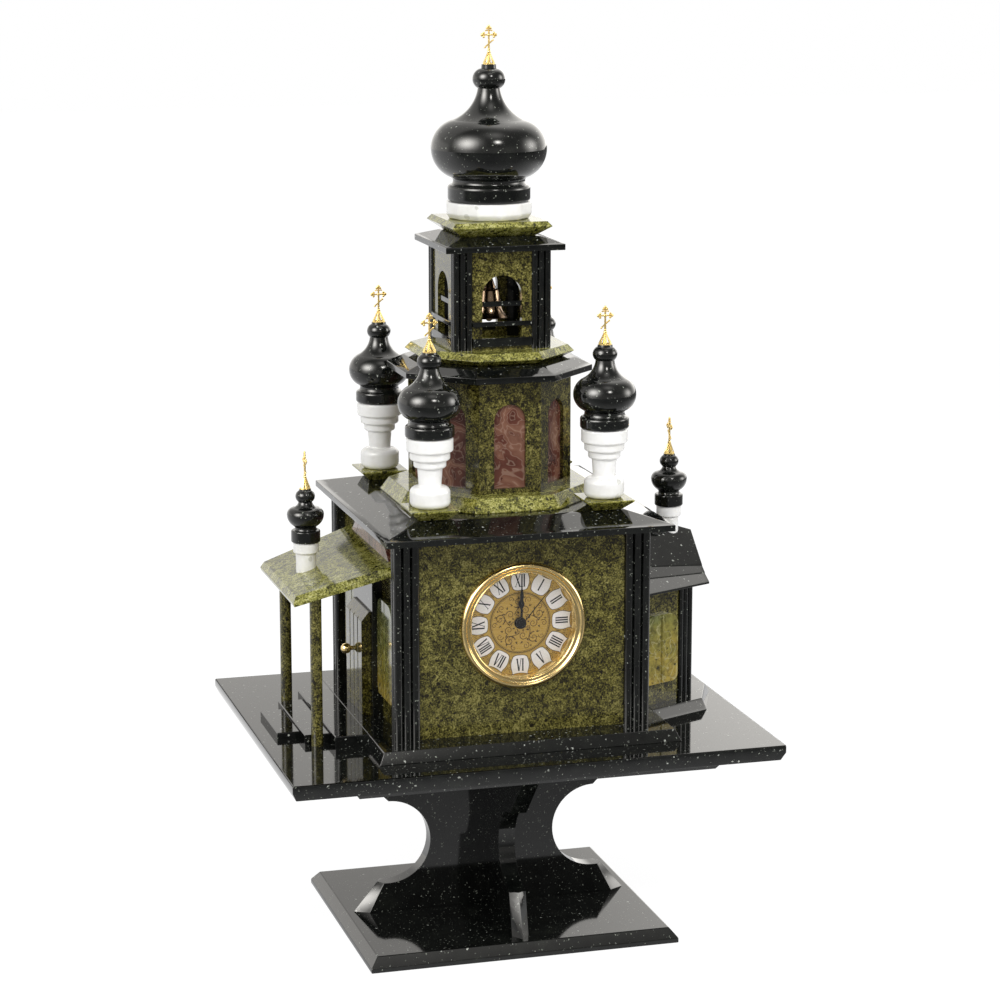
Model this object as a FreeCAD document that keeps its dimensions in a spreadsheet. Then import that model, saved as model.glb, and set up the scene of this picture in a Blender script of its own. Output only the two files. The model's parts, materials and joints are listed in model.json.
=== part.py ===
"""Stone table clock in the form of a domed church, in millimetres.

The clock face looks along -Y, +X is to the right and +Z is up.  The origin is at the middle of the
underside of the base slab.  Everything that shares a level or a width takes it from one named size.
"""
import FreeCAD, Part
import math
import os
import re
import Sketcher

os.makedirs("parts", exist_ok=True)

# Driving sizes. Each becomes one cell of the sheet, under its own name.
SIZES = {
    # Base slab, and the two crossed plates that stand on it
    "base_width": 232.0, "base_depth": 203.5, "base_edge": 3.5,
    "base_bevel_rise": 7.1, "base_bevel_inset": 5.8,
    "pedestal_tall": 130.8, "pedestal_plate": 12.5, "cross_plate": 12.5,
    "wide_reach": 105.5, "wide_foot_tall": 22.0, "wide_cut_radius": 31.8, "wide_cut_distance": 79.4,
    "cross_reach": 91.5, "cross_foot_tall": 31.4, "cross_cut_radius": 30.0, "cross_cut_distance": 77.0,
    "wide_foot_point": 11.0, "cross_foot_point": 8.5, "foot_point_top": 4.0,
    "wide_shoulder": 8.0, "cross_shoulder": 2.0,
    "under_plate_width": 269.0, "under_plate_depth": 274.0, "under_plate_tall": 5.0,
    "under_plate_inset": 3.5,
    # Table slab and what lies on it
    "table_width": 361.0, "table_depth": 290.3, "table_edge": 5.4,
    "table_bevel_tall": 6.4, "table_bevel_inset": 3.0,
    "plinth_width": 223.6, "plinth_depth": 229.8, "plinth_tall": 8.5, "plinth_inset": 4.1,
    "low_step_out": 167.5, "low_step_half": 30.5, "low_step_tall": 4.7,
    "middle_step_out": 150.7, "middle_step_half": 47.0, "middle_step_tall": 6.4,
    "high_step_out": 132.0, "high_step_half": 64.0,
    "arris": 0.5,
    # House walls and the clustered corner columns
    "wall_tall": 146.2, "wall_thick": 8.0, "front_wall_face": 87.8, "side_wall_face": 86.5,
    "rear_wall_face": 105.8,
    "column_inner_x": 75.9, "column_inner_y": 79.13, "colonnette": 6.33,
    # Door side
    "surround_half": 29.5, "surround_thick": 7.5, "surround_below_frieze": 5.7, "surround_gap": 0.3,
    "door_half": 24.5, "door_tall": 77.5, "door_thick": 7.0, "door_bevel": 5.5, "door_bevel_tall": 7.0,
    "plank_groove": 1.2, "knob_radius": 3.9, "knob_neck_radius": 1.6, "knob_stand_off": 5.0,
    "knob_beyond_middle": 4.0, "knob_rise": 44.0,
    "window_wide": 43.5, "window_rise": 19.0, "window_tall": 72.0, "window_thick": 4.0,
    "window_corner": 5.0, "window_shoulder": 11.0, "window_gap": 0.4, "window_groove": 1.0,
    "frieze_thick": 4.0, "frieze_below_roof": 5.0, "frieze_tall": 19.0, "frieze_half": 60.0,
    "frieze_top_half": 33.0, "frieze_joint_foot": 45.0, "frieze_joint_top": 27.0, "frieze_joint": 0.4,
    # Porch canopy and its two posts
    "canopy_out": 159.4, "canopy_half_out": 59.5, "canopy_half_wall": 74.0,
    "canopy_rise": 104.3, "canopy_slope": 17.0, "canopy_thick": 6.6, "canopy_edge": 2.8,
    "canopy_bevel": 3.8,
    "post_x": 143.0, "post_y": 53.0, "post_diameter": 8.5, "small_tower_porch_x": 138.0,
    # Side chapel
    "chapel_base_wall_half": 62.0, "chapel_base_shoulder_x": 157.0, "chapel_base_shoulder_half": 42.0,
    "chapel_base_point_x": 174.5, "chapel_base_inset": 4.0,
    "chapel_end_x": 146.3, "chapel_end_half": 30.0, "chapel_wall_half": 57.4, "chapel_wall_thick": 6.0,
    "chapel_tall": 88.3, "chapel_colonnette": 4.6,
    "chapel_window_wide": 33.3, "chapel_window_from_wall": 17.4, "chapel_window_rise": 16.2,
    "chapel_window_tall": 52.0, "chapel_window_corner": 5.0, "chapel_window_shoulder": 9.5,
    "chapel_roof_x": 157.4, "chapel_eave_half": 74.0, "chapel_eave_end_half": 42.3,
    "chapel_eave_edge": 1.6, "chapel_ridge_rise": 55.3, "small_tower_chapel_x": 139.5,
    "low_course_share": 0.23, "low_course_fall": 0.16, "middle_course_share": 0.38,
    "middle_course_fall": 0.305, "course_ledge": 0.7,
    # Main roof
    "roof_width": 211.3, "roof_depth": 226.2, "roof_edge": 4.5, "roof_rise": 7.8, "roof_slope_run": 30.0,
    # Four corner towers
    "tower_x": 64.3, "tower_y": 74.9, "tower_plate_top": 35.0, "tower_plate_foot": 20.5,
    "tower_plate_tall": 7.6, "tower_plate_edge": 1.2,
    "tower_cushion_radius": 14.4, "tower_cushion_tall": 15.0, "tower_cushion_rounding": 4.4,
    "tower_shaft_radius": 9.0, "tower_shaft_foot_radius": 8.1,
    "tower_shaft_tall": 13.6, "tower_step_radius": 11.6, "tower_step_tall": 5.4,
    "tower_ledge_radius": 14.3, "tower_ledge_tall": 6.0, "tower_band_radius": 16.6,
    "tower_band_tall": 10.0, "tower_rounding": 1.6,
    "tower_ring_radius": 17.5, "tower_ring_tall": 8.9, "tower_groove_radius": 14.4,
    "tower_groove_level": 11.2, "tower_lip_radius": 15.8, "tower_lip_level": 13.4,
    "tower_bulb_radius": 22.5, "tower_bulb_level": 24.5, "tower_shoulder_level": 36.0,
    "tower_throat_radius": 6.7, "tower_throat_level": 49.0, "tower_ball_radius": 8.6,
    "tower_ball_level": 55.0, "tower_collar_radius": 5.2, "tower_collar_level": 60.2,
    "tower_rounding_of_ring": 2.0, "tower_cross_cone_radius": 4.8,
    # Octagonal drum under the belfry
    "drum_base_apothem": 74.7, "drum_base_edge": 1.2, "drum_base_tall": 9.8, "drum_base_inset": 6.0,
    "drum_apothem": 55.2, "drum_tall": 82.0, "drum_wall_thick": 7.0, "niche_width": 23.6,
    "niche_foot": 3.5, "niche_tall": 60.8, "niche_deep": 2.5, "panel_clearance": 0.1,
    "drum_roof_apothem": 69.6, "drum_roof_edge": 4.3, "drum_roof_rise": 5.7, "drum_roof_run": 12.0,
    # Belfry
    "belfry_base_apothem": 57.5, "belfry_base_foot_apothem": 50.0, "belfry_base_under": 4.3,
    "belfry_base_over": 4.7, "belfry_base_top_inset": 4.5,
    "belfry_tall": 71.2, "belfry_half": 36.3, "belfry_colonnette": 4.8, "belfry_wall_setback": 1.8,
    "belfry_wall_thick": 5.0, "arch_width": 29.4, "arch_foot": 4.0, "arch_tall": 49.4,
    "rail_tall": 6.0, "rail_rise": 2.4, "middle_rail_tall": 3.3, "middle_rail_rise": 17.0,
    "rail_proud": 1.8, "guard_tall": 3.5, "guard_rise": 31.0, "guard_thick": 2.5,
    "belfry_roof_width": 88.0, "belfry_roof_depth": 90.0, "belfry_roof_edge": 4.3,
    "belfry_roof_rise": 4.8, "belfry_roof_run": 15.0,
    # Bell, its hanger and its clapper
    "bell_pin_drop": 18.5, "bell_pin_radius": 1.2, "hanger_post_radius": 2.0, "hanger_flange_radius": 6.0,
    "hanger_flange_tall": 1.5, "hanger_fork_gap": 2.6, "hanger_fork_cheek": 1.4,
    "bell_running_fit": 0.06, "bell_side_play": 0.15, "bell_lug_radius": 2.6,
    "bell_lip_radius": 13.6, "bell_tall": 29.0, "bell_lip_drop": 34.0, "bell_wall": 1.3,
    "bell_waist_radius": 9.0, "bell_waist_level": 8.5, "bell_shoulder_radius": 6.9,
    "bell_shoulder_level": 19.3, "bell_crown_radius": 4.4,
    "clapper_pin_drop": 18.8, "clapper_pin_radius": 0.8, "clapper_eye_radius": 1.9,
    "clapper_rod_radius": 0.9, "clapper_ball_radius": 2.7, "clapper_ball_drop": 34.5,
    # Main dome
    "dome_base_width": 74.0, "dome_base_foot": 54.0, "dome_base_under": 7.2, "dome_base_over": 3.5,
    "dome_base_top_inset": 3.0,
    "dome_drum_radius": 31.7, "dome_drum_tall": 12.0, "dome_drum_foot_inset": 2.6,
    "dome_drum_foot_tall": 4.0,
    "dome_ring_radius": 29.8, "dome_ring_tall": 12.2, "dome_groove_radius": 26.0,
    "dome_groove_level": 14.7, "dome_lip_radius": 27.4, "dome_lip_level": 17.2,
    "dome_bulb_radius": 41.7, "dome_bulb_level": 37.8, "dome_shoulder_level": 58.3,
    "dome_throat_radius": 8.0, "dome_throat_level": 80.5, "dome_ball_radius": 11.8,
    "dome_ball_level": 87.2, "dome_collar_radius": 5.3, "dome_collar_level": 97.5,
    "dome_rounding_of_ring": 2.6, "dome_cross_cone_radius": 4.4, "flare_share": 0.24,
    # Two small domes, over the porch and over the chapel
    "small_drum_radius": 7.4, "small_drum_band_level": 15.9, "small_drum_band_radius": 9.2,
    "small_drum_tall": 23.6, "small_drum_porch_sunk": 3.5, "small_drum_chapel_sunk": 9.6,
    "small_drum_rounding": 0.8,
    "small_ring_radius": 10.6, "small_ring_tall": 9.0, "small_groove_radius": 7.8,
    "small_groove_level": 10.6, "small_lip_radius": 8.6, "small_lip_level": 12.0,
    "small_bulb_radius": 13.4, "small_bulb_level": 20.4, "small_shoulder_level": 25.4,
    "small_throat_radius": 4.9, "small_throat_level": 29.6, "small_ball_radius": 6.9,
    "small_ball_level": 34.9, "small_collar_radius": 4.2, "small_collar_level": 39.2,
    "small_rounding_of_ring": 1.2, "small_cross_cone_radius": 3.9,
    # Brass crosses
    "cross_cone_tall": 8.2, "cross_tall": 27.8, "cross_arm_level": 20.6, "cross_arm_half": 6.2,
    "cross_bar": 1.3, "cross_thick": 1.5, "cross_leaf_radius": 1.25, "cross_foot_level": 14.4,
    "cross_foot_half": 3.0, "cross_foot_angle": 42.0, "cross_top_level": 24.0, "cross_top_half": 2.4,
    "cross_stud_radius": 1.5, "cross_stud_long": 6.0, "stud_clearance": 0.1,
    # Clock insert: everything is measured outward from the wall's face
    "clock_rise": 79.0, "bezel_radius": 45.0, "bezel_proud": 4.6, "bezel_window_radius": 38.3,
    "bezel_rim": 5.6, "clock_hole_radius": 42.5, "cup_radius": 41.6, "cup_wall": 1.6,
    "cup_deep": 24.0, "grip_ring_radius": 42.4, "grip_ring_wide": 5.0, "grip_ring_from_face": 2.5, "grip_ring_fit": 0.05,
    "lens_radius": 41.0, "lens_thick": 1.4, "lens_play": 0.1,
    "dial_radius": 39.8, "dial_thick": 0.6, "dial_depth": 7.0, "ledge_inner_radius": 38.3,
    "movement_side": 56.0, "movement_thick": 16.0, "movement_corner": 4.0,
    "battery_radius": 7.1, "battery_long": 50.2, "battery_room": 0.4, "battery_drop": 14.0,
    "bush_radius": 3.6, "bush_proud": 2.8, "nut_across": 9.6, "nut_thick": 1.6, "nut_fit": 0.05,
    "shaft_fit": 0.06, "hour_tube_radius": 2.6, "hour_tube_wall": 0.7, "minute_tube_wall": 0.6,
    "hour_hand_level": 3.4, "minute_hand_level": 4.5, "second_hand_level": 5.6, "hand_thick": 0.4,
    "shaft_deep": 5.0, "hand_hub_radius": 3.8, "minute_hub_radius": 3.0, "second_hub_radius": 1.7,
    "minute_hand_long": 37.0, "hour_hand_long": 25.5, "second_hand_long": 32.0,
    "second_hand_tail": 9.0, "second_hand_angle": 40.0, "hand_half_wide": 1.0, "hour_leaf_half": 2.7,
    "hour_leaf_level": 16.5, "minute_leaf_half": 1.9, "minute_leaf_level": 22.0, "second_half_wide": 0.35,
    "knob_disc_radius": 7.5, "knob_disc_thick": 3.5, "knob_stem_radius": 1.8, "knob_stem_long": 4.0,
    "knob_gap": 0.8, "knob_offset": 9.0,
}

doc = FreeCAD.newDocument("stone_table_clock")
sheet = doc.addObject("Spreadsheet::Sheet", "Sizes")
for row, (size_name, size_value) in enumerate(SIZES.items(), start=1):
    sheet.set(f"A{row}", size_name.replace("_", " "))
    sheet.set(f"B{row}", str(size_value))
    sheet.setAlias(f"B{row}", size_name)
doc.recompute()


# Levels, from the base up, and other places that several pieces share
BASE_TOP = "(base_edge + base_bevel_rise)"
PEDESTAL_TOP = f"({BASE_TOP} + pedestal_tall)"
TABLE_FOOT = f"({PEDESTAL_TOP} + under_plate_tall)"
TABLE_TOP = f"({TABLE_FOOT} + table_bevel_tall + table_edge)"
PLINTH_TOP = f"({TABLE_TOP} + plinth_tall)"
WALL_TOP = f"({PLINTH_TOP} + wall_tall)"
REAR_EXTRA = "(rear_wall_face - front_wall_face)"
SIDE_MIDDLE = f"({REAR_EXTRA} / 2)"
ROOF_TOP = f"({WALL_TOP} + roof_edge + roof_rise)"
TOWER_PLATE_TOP = f"({ROOF_TOP} + tower_plate_tall)"
TOWER_COLUMN_TALL = ("(tower_cushion_tall + tower_shaft_tall + tower_step_tall"
                     " + tower_ledge_tall + tower_band_tall)")
TOWER_ONION_FOOT = f"({TOWER_PLATE_TOP} + {TOWER_COLUMN_TALL})"
DRUM_FOOT = f"({ROOF_TOP} + drum_base_tall)"
DRUM_TOP = f"({DRUM_FOOT} + drum_tall)"
BELFRY_BASE_FOOT = f"({DRUM_TOP} + drum_roof_edge + drum_roof_rise)"
BELFRY_FOOT = f"({BELFRY_BASE_FOOT} + belfry_base_under + belfry_base_over)"
BELFRY_TOP = f"({BELFRY_FOOT} + belfry_tall)"
DOME_BASE_FOOT = f"({BELFRY_TOP} + belfry_roof_edge + belfry_roof_rise)"
DOME_DRUM_FOOT = f"({DOME_BASE_FOOT} + dome_base_under + dome_base_over)"
DOME_ONION_FOOT = f"({DOME_DRUM_FOOT} + dome_drum_tall)"
CLOCK_LEVEL = f"({PLINTH_TOP} + clock_rise)"
BELL_PIN_LEVEL = f"({BELFRY_TOP} - bell_pin_drop)"
EIGHTH = "tan(22.5)"


def sheet_names(expression):
    """The expression with every size written as its cell of the sheet."""
    def cell(match):
        word = match.group(0)
        return "Sizes." + word if word in SIZES else word
    return re.sub(r"[a-z][a-z_0-9]*", cell, str(expression))


def value(expression):
    return float(sheet.evalExpression(sheet_names(expression)))


def bind(thing, path, expression):
    thing.setExpression(path, sheet_names(expression))


def place(thing, along_x="0", along_y="0", along_z="0", turn=None):
    """Put a thing at a bound position, turned by (axis, degrees)."""
    turned = FreeCAD.Rotation(FreeCAD.Vector(*turn[0]), turn[1]) if turn else FreeCAD.Rotation()
    thing.Placement = FreeCAD.Placement(FreeCAD.Vector(), turned)
    for axis, expression in (("x", along_x), ("y", along_y), ("z", along_z)):
        bind(thing, f"Placement.Base.{axis}", expression)
    return thing


def new_body(label):
    made = doc.addObject("PartDesign::Body", label)
    made.Label = label
    return made


def corner_xy(entry):
    return value(entry[0]), value(entry[1])


def level_arc_middle(start, end, level_with):
    """Middle of the arc from start to end whose centre is level with one of them."""
    rim, other = (start, end) if level_with == "start" else (end, start)
    run, rise = other[0] - rim[0], other[1] - rim[1]
    centre_x = rim[0] + (run * run + rise * rise) / (2 * run)
    radius = abs(centre_x - rim[0])
    first = 0.0 if rim[0] > centre_x else math.pi
    last = math.atan2(rise, other[0] - centre_x)
    if last < 0 and first > 0:
        last += 2 * math.pi
    half = (first + last) / 2
    return FreeCAD.Vector(centre_x + radius * math.cos(half), rim[1] + radius * math.sin(half), 0)


def draw_loop(sketch, loop):
    """Draw one closed loop of bound corners.

    A corner is (x, y), (x, y, "through", mid x, mid y) or (x, y, "level", "start" or "end"): the last
    two say that the edge arriving at that corner is an arc.
    """
    def fix(geometry, point, entry):
        for kind, expression in (("DistanceX", entry[0]), ("DistanceY", entry[1])):
            held = sketch.addConstraint(
                Sketcher.Constraint(kind, -1, 1, geometry, point, value(expression)))
            bind(sketch, f"Constraints[{held}]", expression)

    if loop[0] == "circle":
        centre = FreeCAD.Vector(value(loop[1]), value(loop[2]), 0)
        circle = sketch.addGeometry(Part.Circle(centre, FreeCAD.Vector(0, 0, 1), value(loop[3])), False)
        fix(circle, 3, (loop[1], loop[2]))
        held = sketch.addConstraint(Sketcher.Constraint("Radius", circle, value(loop[3])))
        bind(sketch, f"Constraints[{held}]", loop[3])
        return
    ends = []
    for index, entry in enumerate(loop):
        start, end = corner_xy(loop[index - 1]), corner_xy(entry)
        start_point, end_point = FreeCAD.Vector(*start, 0), FreeCAD.Vector(*end, 0)
        if len(entry) == 2:
            edge = sketch.addGeometry(Part.LineSegment(start_point, end_point), False)
            ends.append((edge, 1, 2))
            continue
        if entry[2] == "through":
            middle = FreeCAD.Vector(value(entry[3]), value(entry[4]), 0)
        else:
            middle = level_arc_middle(start, end, entry[3])
        turns_left = (middle - start_point).cross(end_point - middle).z > 0
        first, last = (start_point, end_point) if turns_left else (end_point, start_point)
        edge = sketch.addGeometry(Part.Arc(first, middle, last), False)
        ends.append((edge, 1, 2) if turns_left else (edge, 2, 1))
    for index, (edge, first, last) in enumerate(ends):
        following, its_first, _ = ends[(index + 1) % len(ends)]
        sketch.addConstraint(Sketcher.Constraint("Coincident", edge, last, following, its_first))
        fix(edge, last, loop[index])
    for index, entry in enumerate(loop):
        edge, first, last = ends[index]
        if len(entry) > 2 and entry[2] == "through":
            pin = sketch.addGeometry(
                Part.Point(FreeCAD.Vector(value(entry[3]), value(entry[4]), 0)), True)
            fix(pin, 1, (entry[3], entry[4]))
            sketch.addConstraint(Sketcher.Constraint("PointOnObject", pin, 1, edge))
        elif len(entry) > 2:
            level_end = first if entry[3] == "start" else last
            sketch.addConstraint(Sketcher.Constraint("Horizontal", edge, 3, edge, level_end))


def new_sketch(body, plane, loops, offset="0"):
    """Sketch on one of the body's own planes, moved along the plane's normal by the offset."""
    sketch = body.newObject("Sketcher::SketchObject", body.Label + "_outline")
    support = [thing for thing in body.Origin.OriginFeatures if thing.Role == plane][0]
    sketch.AttachmentSupport = [(support, "")]
    sketch.MapMode = "FlatFace"
    bind(sketch, "AttachmentOffset.Base.z", offset)
    for loop in loops:
        draw_loop(sketch, loop)
    return sketch


def add_pad(body, plane, loops, offset, length, taper=None, backward=False, cut=False, middle=False):
    """Pad (or pocket) a bound outline; a negative taper narrows it as it goes."""
    kind = "PartDesign::Pocket" if cut else "PartDesign::Pad"
    feature = body.newObject(kind, body.Label + ("_pocket" if cut else "_pad"))
    feature.Profile = new_sketch(body, plane, loops, offset)
    feature.Reversed = backward
    if middle:
        feature.SideType = "Symmetric"
    bind(feature, "Length", length)
    if taper:
        bind(feature, "TaperAngle", taper)
    return feature


def block(half_x, half_y):
    return [(f"-({half_x})", f"-({half_y})"), (half_x, f"-({half_y})"),
            (half_x, half_y), (f"-({half_x})", half_y)]


def octagon(apothem):
    """Regular octagon with a flat towards -Y."""
    short = f"({apothem}) * {EIGHTH}"
    return [(f"-({short})", f"-({apothem})"), (short, f"-({apothem})"),
            (apothem, f"-({short})"), (apothem, short),
            (short, apothem), (f"-({short})", apothem),
            (f"-({apothem})", short), (f"-({apothem})", f"-({short})")]


def narrowing(inset, rise):
    """Taper that narrows a pad by the inset over the rise."""
    return f"-atan(({inset}) / ({rise}))"


def slab(label, outline, foot, layers):
    """Slab of layers over one outline: (level above the foot, height, inset, upward)."""
    body = new_body(label)
    for level, tall, inset, upward in layers:
        taper = narrowing(inset, tall) if inset else None
        add_pad(body, "XY_Plane", [outline], level, tall, taper, backward=not upward)
    return place(body, along_z=foot)


def turned(label, profile):
    """Turned piece: bound (radius, height) corners, turned about its own upright axis."""
    body = new_body(label)
    feature = body.newObject("PartDesign::Revolution", label + "_turning")
    sketch = new_sketch(body, "XZ_Plane", [profile])
    feature.Profile = sketch
    feature.ReferenceAxis = (sketch, ["V_Axis"])
    return body


def mirrored(label, source, *normals):
    """The source and its mirror images, as one group of separate solids."""
    group = source
    for normal in normals:
        twin = doc.addObject("Part::Mirroring", f"{label}_twin")
        twin.Source = group
        twin.Normal = FreeCAD.Vector(*normal)
        pair = doc.addObject("Part::Compound", f"{label}_pair")
        pair.Links = [group, twin]
        group = pair
    return group


def together(label, *pieces):
    group = doc.addObject("Part::Compound", f"{label}_group")
    group.Links = list(pieces)
    return group


def less(label, base, tool):
    cut = doc.addObject("Part::Cut", f"{label}_cut")
    cut.Base = base
    cut.Tool = tool
    return cut


NODES = {}


def node(name, thing):
    """Give a sub-part its label, which also names its file."""
    thing.Label = name
    NODES[name] = thing
    return thing


def plate_edge(kind, side):
    """Outer edge of a pedestal plate from its foot up: round cut-out, then a splayed shoulder."""
    out, radius, foot = f"{kind}_cut_distance", f"{kind}_cut_radius", f"{kind}_foot_tall"
    splay = f"({out} + pedestal_tall - {foot} - 2 * {radius})"
    return [(f"{side} * {out}", foot),
            (f"{side} * {out}", f"{foot} + 2 * {radius}", "through",
             f"{side} * ({out} - {radius})", f"{foot} + {radius}"),
            (f"{side} * {splay}", "pedestal_tall")]


def pointed_foot(body, kind, corners):
    """Foot of a pedestal plate: its end tapers to a ridge on the plate's middle plane."""
    bottom = new_sketch(body, "XY_Plane", [corners(f"{kind}_reach", f"{kind}_foot_point")])
    top_reach = f"({kind}_cut_distance + {kind}_shoulder)"
    top = new_sketch(body, "XY_Plane", [corners(top_reach, "foot_point_top")], f"{kind}_foot_tall")
    foot = body.newObject("PartDesign::AdditiveLoft", body.Label + "_foot")
    foot.Profile = bottom
    foot.Sections = [top]
    foot.Ruled = True


def build_pedestal():
    base = slab("base_slab", block("base_width / 2", "base_depth / 2"), "0",
                [("0", "base_edge", None, True),
                 ("base_edge", "base_bevel_rise", "base_bevel_inset", True)])
    node("base_slab", base)

    wide = new_body("pedestal_wide_plate")
    left_edge = plate_edge("wide", "-1")
    back_down = [left_edge[2], left_edge[1][:2], left_edge[0][:2] + left_edge[1][2:]]
    add_pad(wide, "XZ_Plane", [plate_edge("wide", "1") + back_down], "0", "pedestal_plate", middle=True)

    def both_ends(reach, point):
        half = "pedestal_plate / 2"
        return [(f"-{reach}", "0"), (f"-({reach} - {point})", f"-{half}"),
                (f"{reach} - {point}", f"-{half}"), (reach, "0"),
                (f"{reach} - {point}", half), (f"-({reach} - {point})", half)]

    pointed_foot(wide, "wide", both_ends)
    node("pedestal_wide_plate", place(wide, along_z=BASE_TOP))

    cross = new_body("pedestal_cross_plate")
    butt = "-pedestal_plate / 2"
    edge = plate_edge("cross", "-1")
    add_pad(cross, "YZ_Plane", [[(butt, "cross_foot_tall")] + edge + [(butt, "pedestal_tall")]],
            "0", "cross_plate", middle=True)

    def near_end(reach, point):
        half = "cross_plate / 2"
        return [(f"-{half}", butt), (f"-{half}", f"-({reach} - {point})"), ("0", f"-{reach}"),
                (half, f"-({reach} - {point})"), (half, butt)]

    pointed_foot(cross, "cross", near_end)
    place(cross, along_z=BASE_TOP)
    node("pedestal_cross_plates", mirrored("pedestal_cross_plates", cross, (0, 1, 0)))

    under = slab("under_table_plate", block("under_plate_width / 2", "under_plate_depth / 2"),
                 PEDESTAL_TOP, [("under_plate_tall", "under_plate_tall", "under_plate_inset", False)])
    node("under_table_plate", under)


def with_arris(tall, start="0"):
    """Layers of a block whose top edge has a fine arris."""
    return [(start, f"{tall} - arris", None, True), (f"{start} + {tall} - arris", "arris", "arris", True)]


def build_table():
    table = slab("table_slab", block("table_width / 2", "table_depth / 2"), TABLE_FOOT,
                 [("table_bevel_tall", "table_bevel_tall", "table_bevel_inset", False)]
                 + with_arris("table_edge", "table_bevel_tall"))
    node("table_slab", table)
    plinth = slab("plinth_slab", block("plinth_width / 2", "plinth_depth / 2"), TABLE_TOP,
                  [("0", "plinth_tall", "plinth_inset", True)])
    node("plinth_slab", plinth)

    steps = (("porch_step_low", "low_step_out", "middle_step_out", "low_step_half", "low_step_tall"),
             ("porch_step_middle", "middle_step_out", "high_step_out", "middle_step_half",
              "middle_step_tall"),
             ("porch_step_high", "high_step_out", "(plinth_width / 2 - plinth_inset)",
              "high_step_half", "plinth_tall"))
    stones = []
    for name, outer, inner, half, tall in steps:
        outline = [(f"-{outer}", f"-{half}"), (f"-{inner}", f"-{half}"), (f"-{inner}", half),
                   (f"-{outer}", half)]
        step = slab(name, outline, TABLE_TOP, with_arris(tall))
        if name == "porch_step_high":
            step = less(name, step, plinth)
        stones.append(step)
    node("porch_steps", together("porch_steps", *stones))
    return plinth


def bundle(inner_x, inner_y, width):
    """Plan of a clustered corner column at +X, -Y: three half rounds on the front, two on the side."""
    def front(count):
        return f"{inner_x} + {count} / 2 * {width}"

    def deep(count):
        return f"-({inner_y} + {count} / 2 * {width})"

    slant = f"{width} / 2 * cos(45)"
    return [(inner_x, deep(0)), (inner_x, deep(3)),
            (front(2), deep(3), "through", front(1), deep(4)),
            (front(4), deep(3), "through", front(3), deep(4)),
            (front(5), deep(2), "through", f"{front(5)} + {slant}", f"{deep(3)} - {slant}"),
            (front(5), deep(0), "through", front(6), deep(1))]


def upright_block(half, foot, top):
    return [(f"-({half})", foot), (half, foot), (half, top), (f"-({half})", top)]


def arch(half, foot, tall):
    """Round-headed opening on a centre line."""
    spring = f"({foot} + {tall} - {half})"
    return [(f"-({half})", foot), (half, foot), (half, spring),
            (f"-({half})", spring, "through", "0", f"{foot} + {tall}")]


def wall(label, plane, loops, face, thick, foot, outward):
    """Upright plate whose outer face stands at a distance from the middle of the building."""
    body = new_body(label)
    faces_normal = outward > 0
    offset = face if faces_normal else f"-({face})"
    add_pad(body, plane, loops, offset, thick, backward=faces_normal)
    return place(body, along_z=foot)


def build_house():
    front = upright_block("column_inner_x", "0", "wall_tall")
    behind = f"(column_inner_y + {REAR_EXTRA})"
    side = [("-column_inner_y", "0"), (behind, "0"), (behind, "wall_tall"),
            ("-column_inner_y", "wall_tall")]
    clock_hole = ["circle", "0", "clock_rise", "clock_hole_radius"]
    face_y, face_x = "front_wall_face", "side_wall_face"
    node("front_wall", wall("front_wall", "XZ_Plane", [front, clock_hole], face_y, "wall_thick",
                            PLINTH_TOP, 1))
    node("rear_wall", wall("rear_wall", "XZ_Plane", [front], "rear_wall_face", "wall_thick",
                           PLINTH_TOP, -1))
    node("right_wall", wall("right_wall", "YZ_Plane", [side], face_x, "wall_thick", PLINTH_TOP, 1))
    node("left_wall", wall("left_wall", "YZ_Plane", [side], face_x, "wall_thick", PLINTH_TOP, -1))
    column = slab("corner_column", bundle("column_inner_x", "column_inner_y", "colonnette"),
                  PLINTH_TOP, [("0", "wall_tall", None, True)])
    front_pair = mirrored("front_columns", column, (1, 0, 0))
    rear_pair = doc.addObject("Part::Mirroring", "rear_columns")
    rear_pair.Source = front_pair
    rear_pair.Normal = FreeCAD.Vector(0, 1, 0)
    node("corner_columns", together("corner_columns", front_pair,
                                    place(rear_pair, along_y=REAR_EXTRA)))
    roof = slab("main_roof", block("roof_width / 2", "roof_depth / 2"), WALL_TOP,
                [("0", "roof_edge", None, True), ("roof_edge", "roof_rise", "roof_slope_run", True)])
    node("main_roof", roof)


def rounded(left, foot, right, top, corner, shoulder):
    """Upright plate outline with rounded corners: corner is their radius below, shoulder above."""
    near, high = f"{corner} * (1 - cos(45))", f"{shoulder} * (1 - cos(45))"
    return [(f"{right} - {corner}", foot),
            (right, f"{foot} + {corner}", "through", f"{right} - {near}", f"{foot} + {near}"),
            (right, f"{top} - {shoulder}"),
            (f"{right} - {shoulder}", top, "through", f"{right} - {high}", f"{top} - {high}"),
            (f"{left} + {shoulder}", top),
            (left, f"{top} - {shoulder}", "through", f"{left} + {high}", f"{top} - {high}"),
            (left, f"{foot} + {corner}"),
            (f"{left} + {corner}", foot, "through", f"{left} + {near}", f"{foot} + {near}")]


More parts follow.
